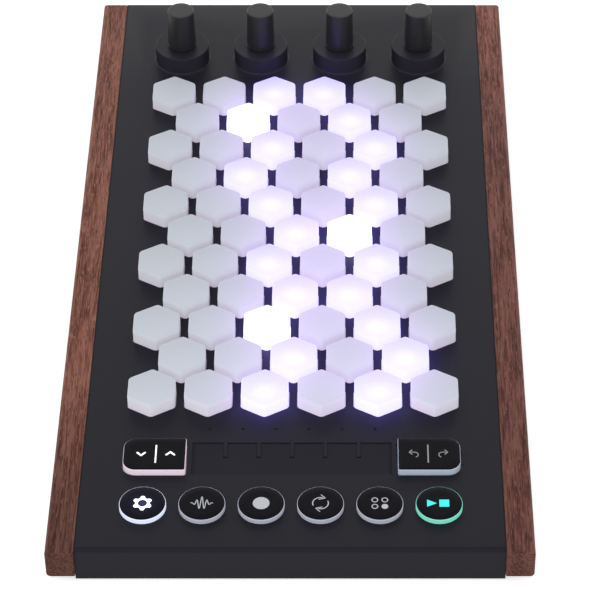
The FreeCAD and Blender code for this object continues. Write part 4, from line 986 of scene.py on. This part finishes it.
for number in range(1, KNOBS + 1):
    knob = shifted(turned(knob_profile(), 96), (number - 2.5) * KNOB_PITCH, KNOB_Y)
    piece(f"turned_knob_{number}", knob, finishes["knob_black"], f"knob_{number}_turning",
          [f"knob_{number}"])
print("knobs:", KNOBS)

# %% [markdown]
# ## Wooden cheeks
# A cheek is a board with its outer edges rounded over and its inner edges left crisp against
# the case. Its cross-section is a rounded rectangle, carried along the length. The sawn ends
# keep a tiny break of the edge, which catches light as a fine line.

# %% Shape the cheeks
CRISP_R, EASED_R, OUTER_BOTTOM_R, OUTER_TOP_R, END_BREAK = 0.25, 0.65, 2.0, 1.6, 0.6


def cheek_skin(side):
    """The cross-section runs round in X and Z; the rings run from the front end to the rear. The
    ends are eased, so there the section's two crisp inner corners turn round ones as well."""
    (inner, front, bottom), (outer, rear, top) = reach("right_cheek")
    corners = [(inner, bottom), (outer, bottom), (outer, top), (inner, top)]
    crisp, eased = (rounded_path(corners, [r, OUTER_BOTTOM_R, OUTER_TOP_R, r], 9, 6)
                    for r in (CRISP_R, EASED_R))
    centre = np.array([(inner + outer) / 2, (bottom + top) / 2])

    def ring(y, path, amount=0.0, scale=1.0):
        """The section at one place of the length, drawn in and shrunk about its middle."""
        core, direction, radius = path
        flat = centre + (core + direction * (radius - amount)[:, None] - centre) * scale
        return np.stack([side * flat[:, 0], np.full(len(flat), y), flat[:, 1]], 1)

    def end(y, way):
        """Rings of one end, from its middle out to its full section."""
        flat = [ring(y, eased, END_BREAK, s) for s in (0.35, 0.7, 1.0)]
        return flat + [ring(y + way * down, eased, END_BREAK - out)
                       for out, down in round_edge(END_BREAK)]

    long_run = [ring(y, crisp) for y in np.linspace(front + 1.4, rear - 1.4, 26)]
    return skin(np.array(end(front, 1) + long_run + end(rear, -1)[::-1]))


for side, name, material in ((-1, "left_cheek", wood_left), (1, "right_cheek", wood_right)):
    piece("wooden_" + name, cheek_skin(side), material, "case", [name])
print("cheeks: 2")

# %% [markdown]
# ## The case
# The case shell has many holes, bosses and soft edges, and its CAD surface is already right. A
# copy is merged and shaded smooth, with its large flat faces kept flat by weighted normals. Its
# flat top between the keys gets a fine net of extra points, because light leaks out round each
# lit key and fades over a few millimetres: that fade is painted on those points as light.

# %% Copy a CAD surface and make it smooth
def smooth_copy(node, name, material, body):
    """A merged, smooth-shaded copy of a CAD node that stands for it."""
    mesh = nodes[node].data.copy()
    mesh.name = name
    work = bmesh.new()
    work.from_mesh(mesh)
    bmesh.ops.remove_doubles(work, verts=work.verts, dist=0.002 * MM)
    work.to_mesh(mesh)
    work.free()
    if "custom_normal" in mesh.attributes:
        mesh.attributes.remove(mesh.attributes["custom_normal"])
    mesh.shade_smooth()
    mesh.set_sharp_from_angle(angle=math.radians(32.0))
    mesh.materials.clear()
    mesh.materials.append(material)
    made = in_scene(name, mesh)
    weighted = made.modifiers.new("weighted", "WEIGHTED_NORMAL")
    weighted.keep_sharp = True
    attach(made, body)
    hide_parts(node)
    return made


shell = smooth_copy("top_case", "case_shell", finishes["black_case"], "case")
print("points in the case shell:", len(shell.data.vertices))

# %% Net the flat top
NET_STEP, NET_X, NET_Y = 3.0, (-78.0, 78.0), (-125.0, 132.0)


def net_flat_top(mesh):
    """Cuts the flat top between the keys by upright planes, so that it has points to colour."""
    work = bmesh.new()
    work.from_mesh(mesh)
    faces = [f for f in work.faces
             if f.normal.z > 0.99 and abs(f.calc_center_median().z - PANEL_TOP * MM) < 1e-5]
    found = [*{v for f in faces for v in f.verts}, *{e for f in faces for e in f.edges}, *faces]
    for way, (low, high) in (((1, 0, 0), NET_X), ((0, 1, 0), NET_Y)):
        for value in np.arange(low, high + 0.1, NET_STEP):
            spot = [value * MM * part for part in way]
            cut = bmesh.ops.bisect_plane(work, geom=found, plane_co=spot, plane_no=way, dist=1e-6)
            found = cut["geom"]
    work.to_mesh(mesh)
    work.free()


net_flat_top(shell.data)
print("points after netting:", len(shell.data.vertices))

# %% Light that leaks out on to the case
LEAK_GLOW, LEAK_REACH, NOTE_LEAK = np.array([0.0125, 0.0080, 0.068]), 5.0, 1.2
OPEN_LEAK, OPEN_FROM_Y, OPEN_TO_Y = 0.5, FRONT_ROW_Y - 6.0, FRONT_ROW_Y - 9.0
NOTE_SPILL = np.array([0.032, 0.031, 0.024])
BOSS_PAINTED_LIGHT, BOSS_R, BOSS_REACH = np.array([0.0100, 0.0094, 0.0110]), 13.3, 4.0
REAR_PAINTED_LIGHT, REAR_PAINTED_REACH = np.array([0.019, 0.018, 0.017]), 20.0


def leaked_light(points):
    """Painted light round the foot of the lit keys: it fades with the distance to each key's
    outline, which is the largest of the distances to its three pairs of sides. The keynote also
    spills painted white in front of itself. The bosses under the knobs get painted light from the
    pale keys on the side that faces them, and the rear margin is painted lighter towards its edge."""
    x, y, z = points.T
    from_x, from_y = x[:, None] - lit_centres[:, 0], y[:, None] - lit_centres[:, 1]
    ways, keynote = np.radians([0, 60, 120]), lit_levels == 2
    across = np.abs(from_x[..., None] * np.cos(ways) + from_y[..., None] * np.sin(ways)).max(-1)
    fade = np.exp(-np.clip(across - KEY_FLATS / 2, 0, None) / LEAK_REACH)
    leak = (fade * np.where(keynote, NOTE_LEAK, 1.0)).sum(1) * (z > PANEL_TOP - 2.5)
    leak = leak * (1 + OPEN_LEAK * ramp(y, OPEN_FROM_Y, OPEN_TO_Y))
    before_note = (fade * keynote * (np.abs(from_x) < 5) * (from_y < -8)).sum(1)
    from_knob = np.hypot((x + 2 * KNOB_PITCH) % KNOB_PITCH - KNOB_PITCH / 2, y - KNOB_Y)
    at_boss = (ramp(y, KNOB_Y - 3.0, KNOB_Y - 11.0) * (z > PANEL_TOP - 1.0)
               * np.exp(-np.clip(from_knob - BOSS_R, 0, None) / BOSS_REACH))
    at_rear = ramp(y, REAR - REAR_PAINTED_REACH, REAR) ** 2 * (z > PANEL_TOP - 1.5)
    # All four are painted light on the case.
    lights = ((LEAK_GLOW, leak), (BOSS_PAINTED_LIGHT, at_boss), (REAR_PAINTED_LIGHT, at_rear),
              (NOTE_SPILL, before_note))
    return sum(colour * amount[:, None] for colour, amount in lights)


flat = np.empty(len(shell.data.vertices) * 3, np.float32)
shell.data.vertices.foreach_get("co", flat)
spilled = leaked_light(flat.reshape(-1, 3).astype(float) / MM)
store_colours(shell.data, "spill", spilled)
print("brightest spill:", np.round(spilled.max(0), 3))

# %% [markdown]
# ## Every other piece of the frame
# The base, boards, sockets, screws and domes keep their CAD surfaces. Each takes the finish of
# its slot, so that nothing is left plain, inside or out.

# %% Finish the CAD pieces
slot_nodes = {
    "black_case": ["base_cover"],
    "strip_skin": ["touch_strip"],
    "clear_plastic": ["light_pipes"],
    "white_plastic": ["key_guide", "board_header"],
    "dome_rubber": ["key_dome_mat", "button_dome_mat"],
    "foot_rubber": ["rubber_feet"],
    "circuit_board": ["key_board", "control_board", "encoder_board", "connector_board"],
    "light_chip": ["key_lights", "control_lights"],
    "socket_plastic": ["control_sockets", "midi_sockets", "board_chips", "encoder_housings"],
    "flex_film": ["board_links"],
    "brass": ["cheek_inserts"],
    "steel": ["usb_socket", "rocker_pins", "encoder_nuts", "board_screws"],
    "black_steel": ["base_screws", "cheek_screws"],
}
for number in range(1, KNOBS + 1):
    slot_nodes["steel"].append(f"encoder_shaft_{number}")
    slot_nodes["white_plastic"].append(f"push_plunger_{number}")
for slot, names in slot_nodes.items():
    for name in names:
        nodes[name].data.materials.clear()
        nodes[name].data.materials.append(finishes[slot])
print("CAD pieces finished:", sum(len(names) for names in slot_nodes.values()))

# %% [markdown]
# ## The studio
# The object stands on a white floor in a white room, as for a catalogue picture. The room gives
# soft light from all sides, and four large lamps give it a direction. The floor and the room
# look white to the camera and in reflections, but light the object at a plain level. Low behind
# the object the room mirrors brighter still, as a white card there would.

# %% Floor
CARD_WHITE, CARD_SHINE = 0.80, 0.65


def studio_floor():
    """A large disc of white card. To the camera it is brighter than its own shading, so that it
    stays white while it keeps the soft shadow at the object's foot."""
    material, tree, shader = new_material("white_card", 0.1)
    card = placed(tree, grain, Scale=900.0, Mottle=0.01, Roughness=0.9, Spread=0.0)
    white = paint(CARD_WHITE, CARD_WHITE, CARD_WHITE)
    tree.links.new(blended(tree, 1.0, white, card["Tone"], "MULTIPLY"), shader.inputs["Base Color"])
    shader.inputs["Roughness"].default_value = 0.9
    rays = put(tree, "LightPath").outputs
    seen = sums(tree, "MAXIMUM", rays["Is Camera Ray"],
                sums(tree, "MAXIMUM", rays["Is Glossy Ray"], rays["Is Transmission Ray"]))
    shader.inputs["Emission Color"].default_value = paint(1, 1, 1)
    tree.links.new(sums(tree, "MULTIPLY", seen, CARD_SHINE), shader.inputs["Emission Strength"])
    points, quads, _ = turned([(200.0, 0.0), (1000.0, 0.0), (3000.0, 0.0)], 64)
    mesh = bpy.data.meshes.new("studio_floor")
    mesh.from_pydata((points[:-2] * MM).tolist(), [], quads.tolist() + [list(range(64))])
    mesh.materials.append(material)
    made = in_scene("studio_floor", mesh)


studio_floor()

# %% Room
ROOM_LIGHT, ROOM_MIRRORED, CARD_MIRRORED = 0.58, 0.70, 1.7
world = bpy.data.worlds.new("white_room")
bpy.context.scene.world = world
world.use_nodes = True
tree = world.node_tree
backdrop = tree.nodes["Background"]
rays = put(tree, "LightPath").outputs
way = put(tree, "SeparateXYZ", None, put(tree, "TexCoord").outputs["Generated"]).outputs
low_behind = sums(tree, "MULTIPLY", ranged(tree, way["Z"], 0.63, 0.50),
                  ranged(tree, way["Y"], 0.2, 0.7))
mirrored = sums(tree, "MULTIPLY_ADD", low_behind, CARD_MIRRORED, ROOM_MIRRORED)
strength = sums(tree, "MAXIMUM", ROOM_LIGHT,
                sums(tree, "MULTIPLY", rays["Is Glossy Ray"], mirrored))
strength = sums(tree, "MAXIMUM", strength, sums(tree, "MAXIMUM", rays["Is Camera Ray"],
                                                rays["Is Transmission Ray"]))
backdrop.inputs["Color"].default_value = paint(1, 1, 1)
tree.links.new(strength, backdrop.inputs["Strength"])


# %% Lamps
def lamp(name, place, size, power):
    """A large soft square lamp that looks at the middle of the object."""
    data = bpy.data.lights.new(name, "AREA")
    data.shape = "SQUARE"
    data.size = size
    data.energy = power
    made = in_scene(name, data)
    made.location = place
    made.rotation_euler = (-made.location).to_track_quat("-Z", "Y").to_euler()


lamp("front_lamp", (-0.35, -0.9, 1.5), 1.0, 5.0)
lamp("left_lamp", (-1.4, 0.2, 0.9), 0.8, 1.6)
lamp("right_lamp", (1.4, 0.2, 0.9), 0.8, 1.2)
lamp("low_front_lamp", (0.0, -1.3, 0.38), 0.9, 2.1)
print("lamps: 4")
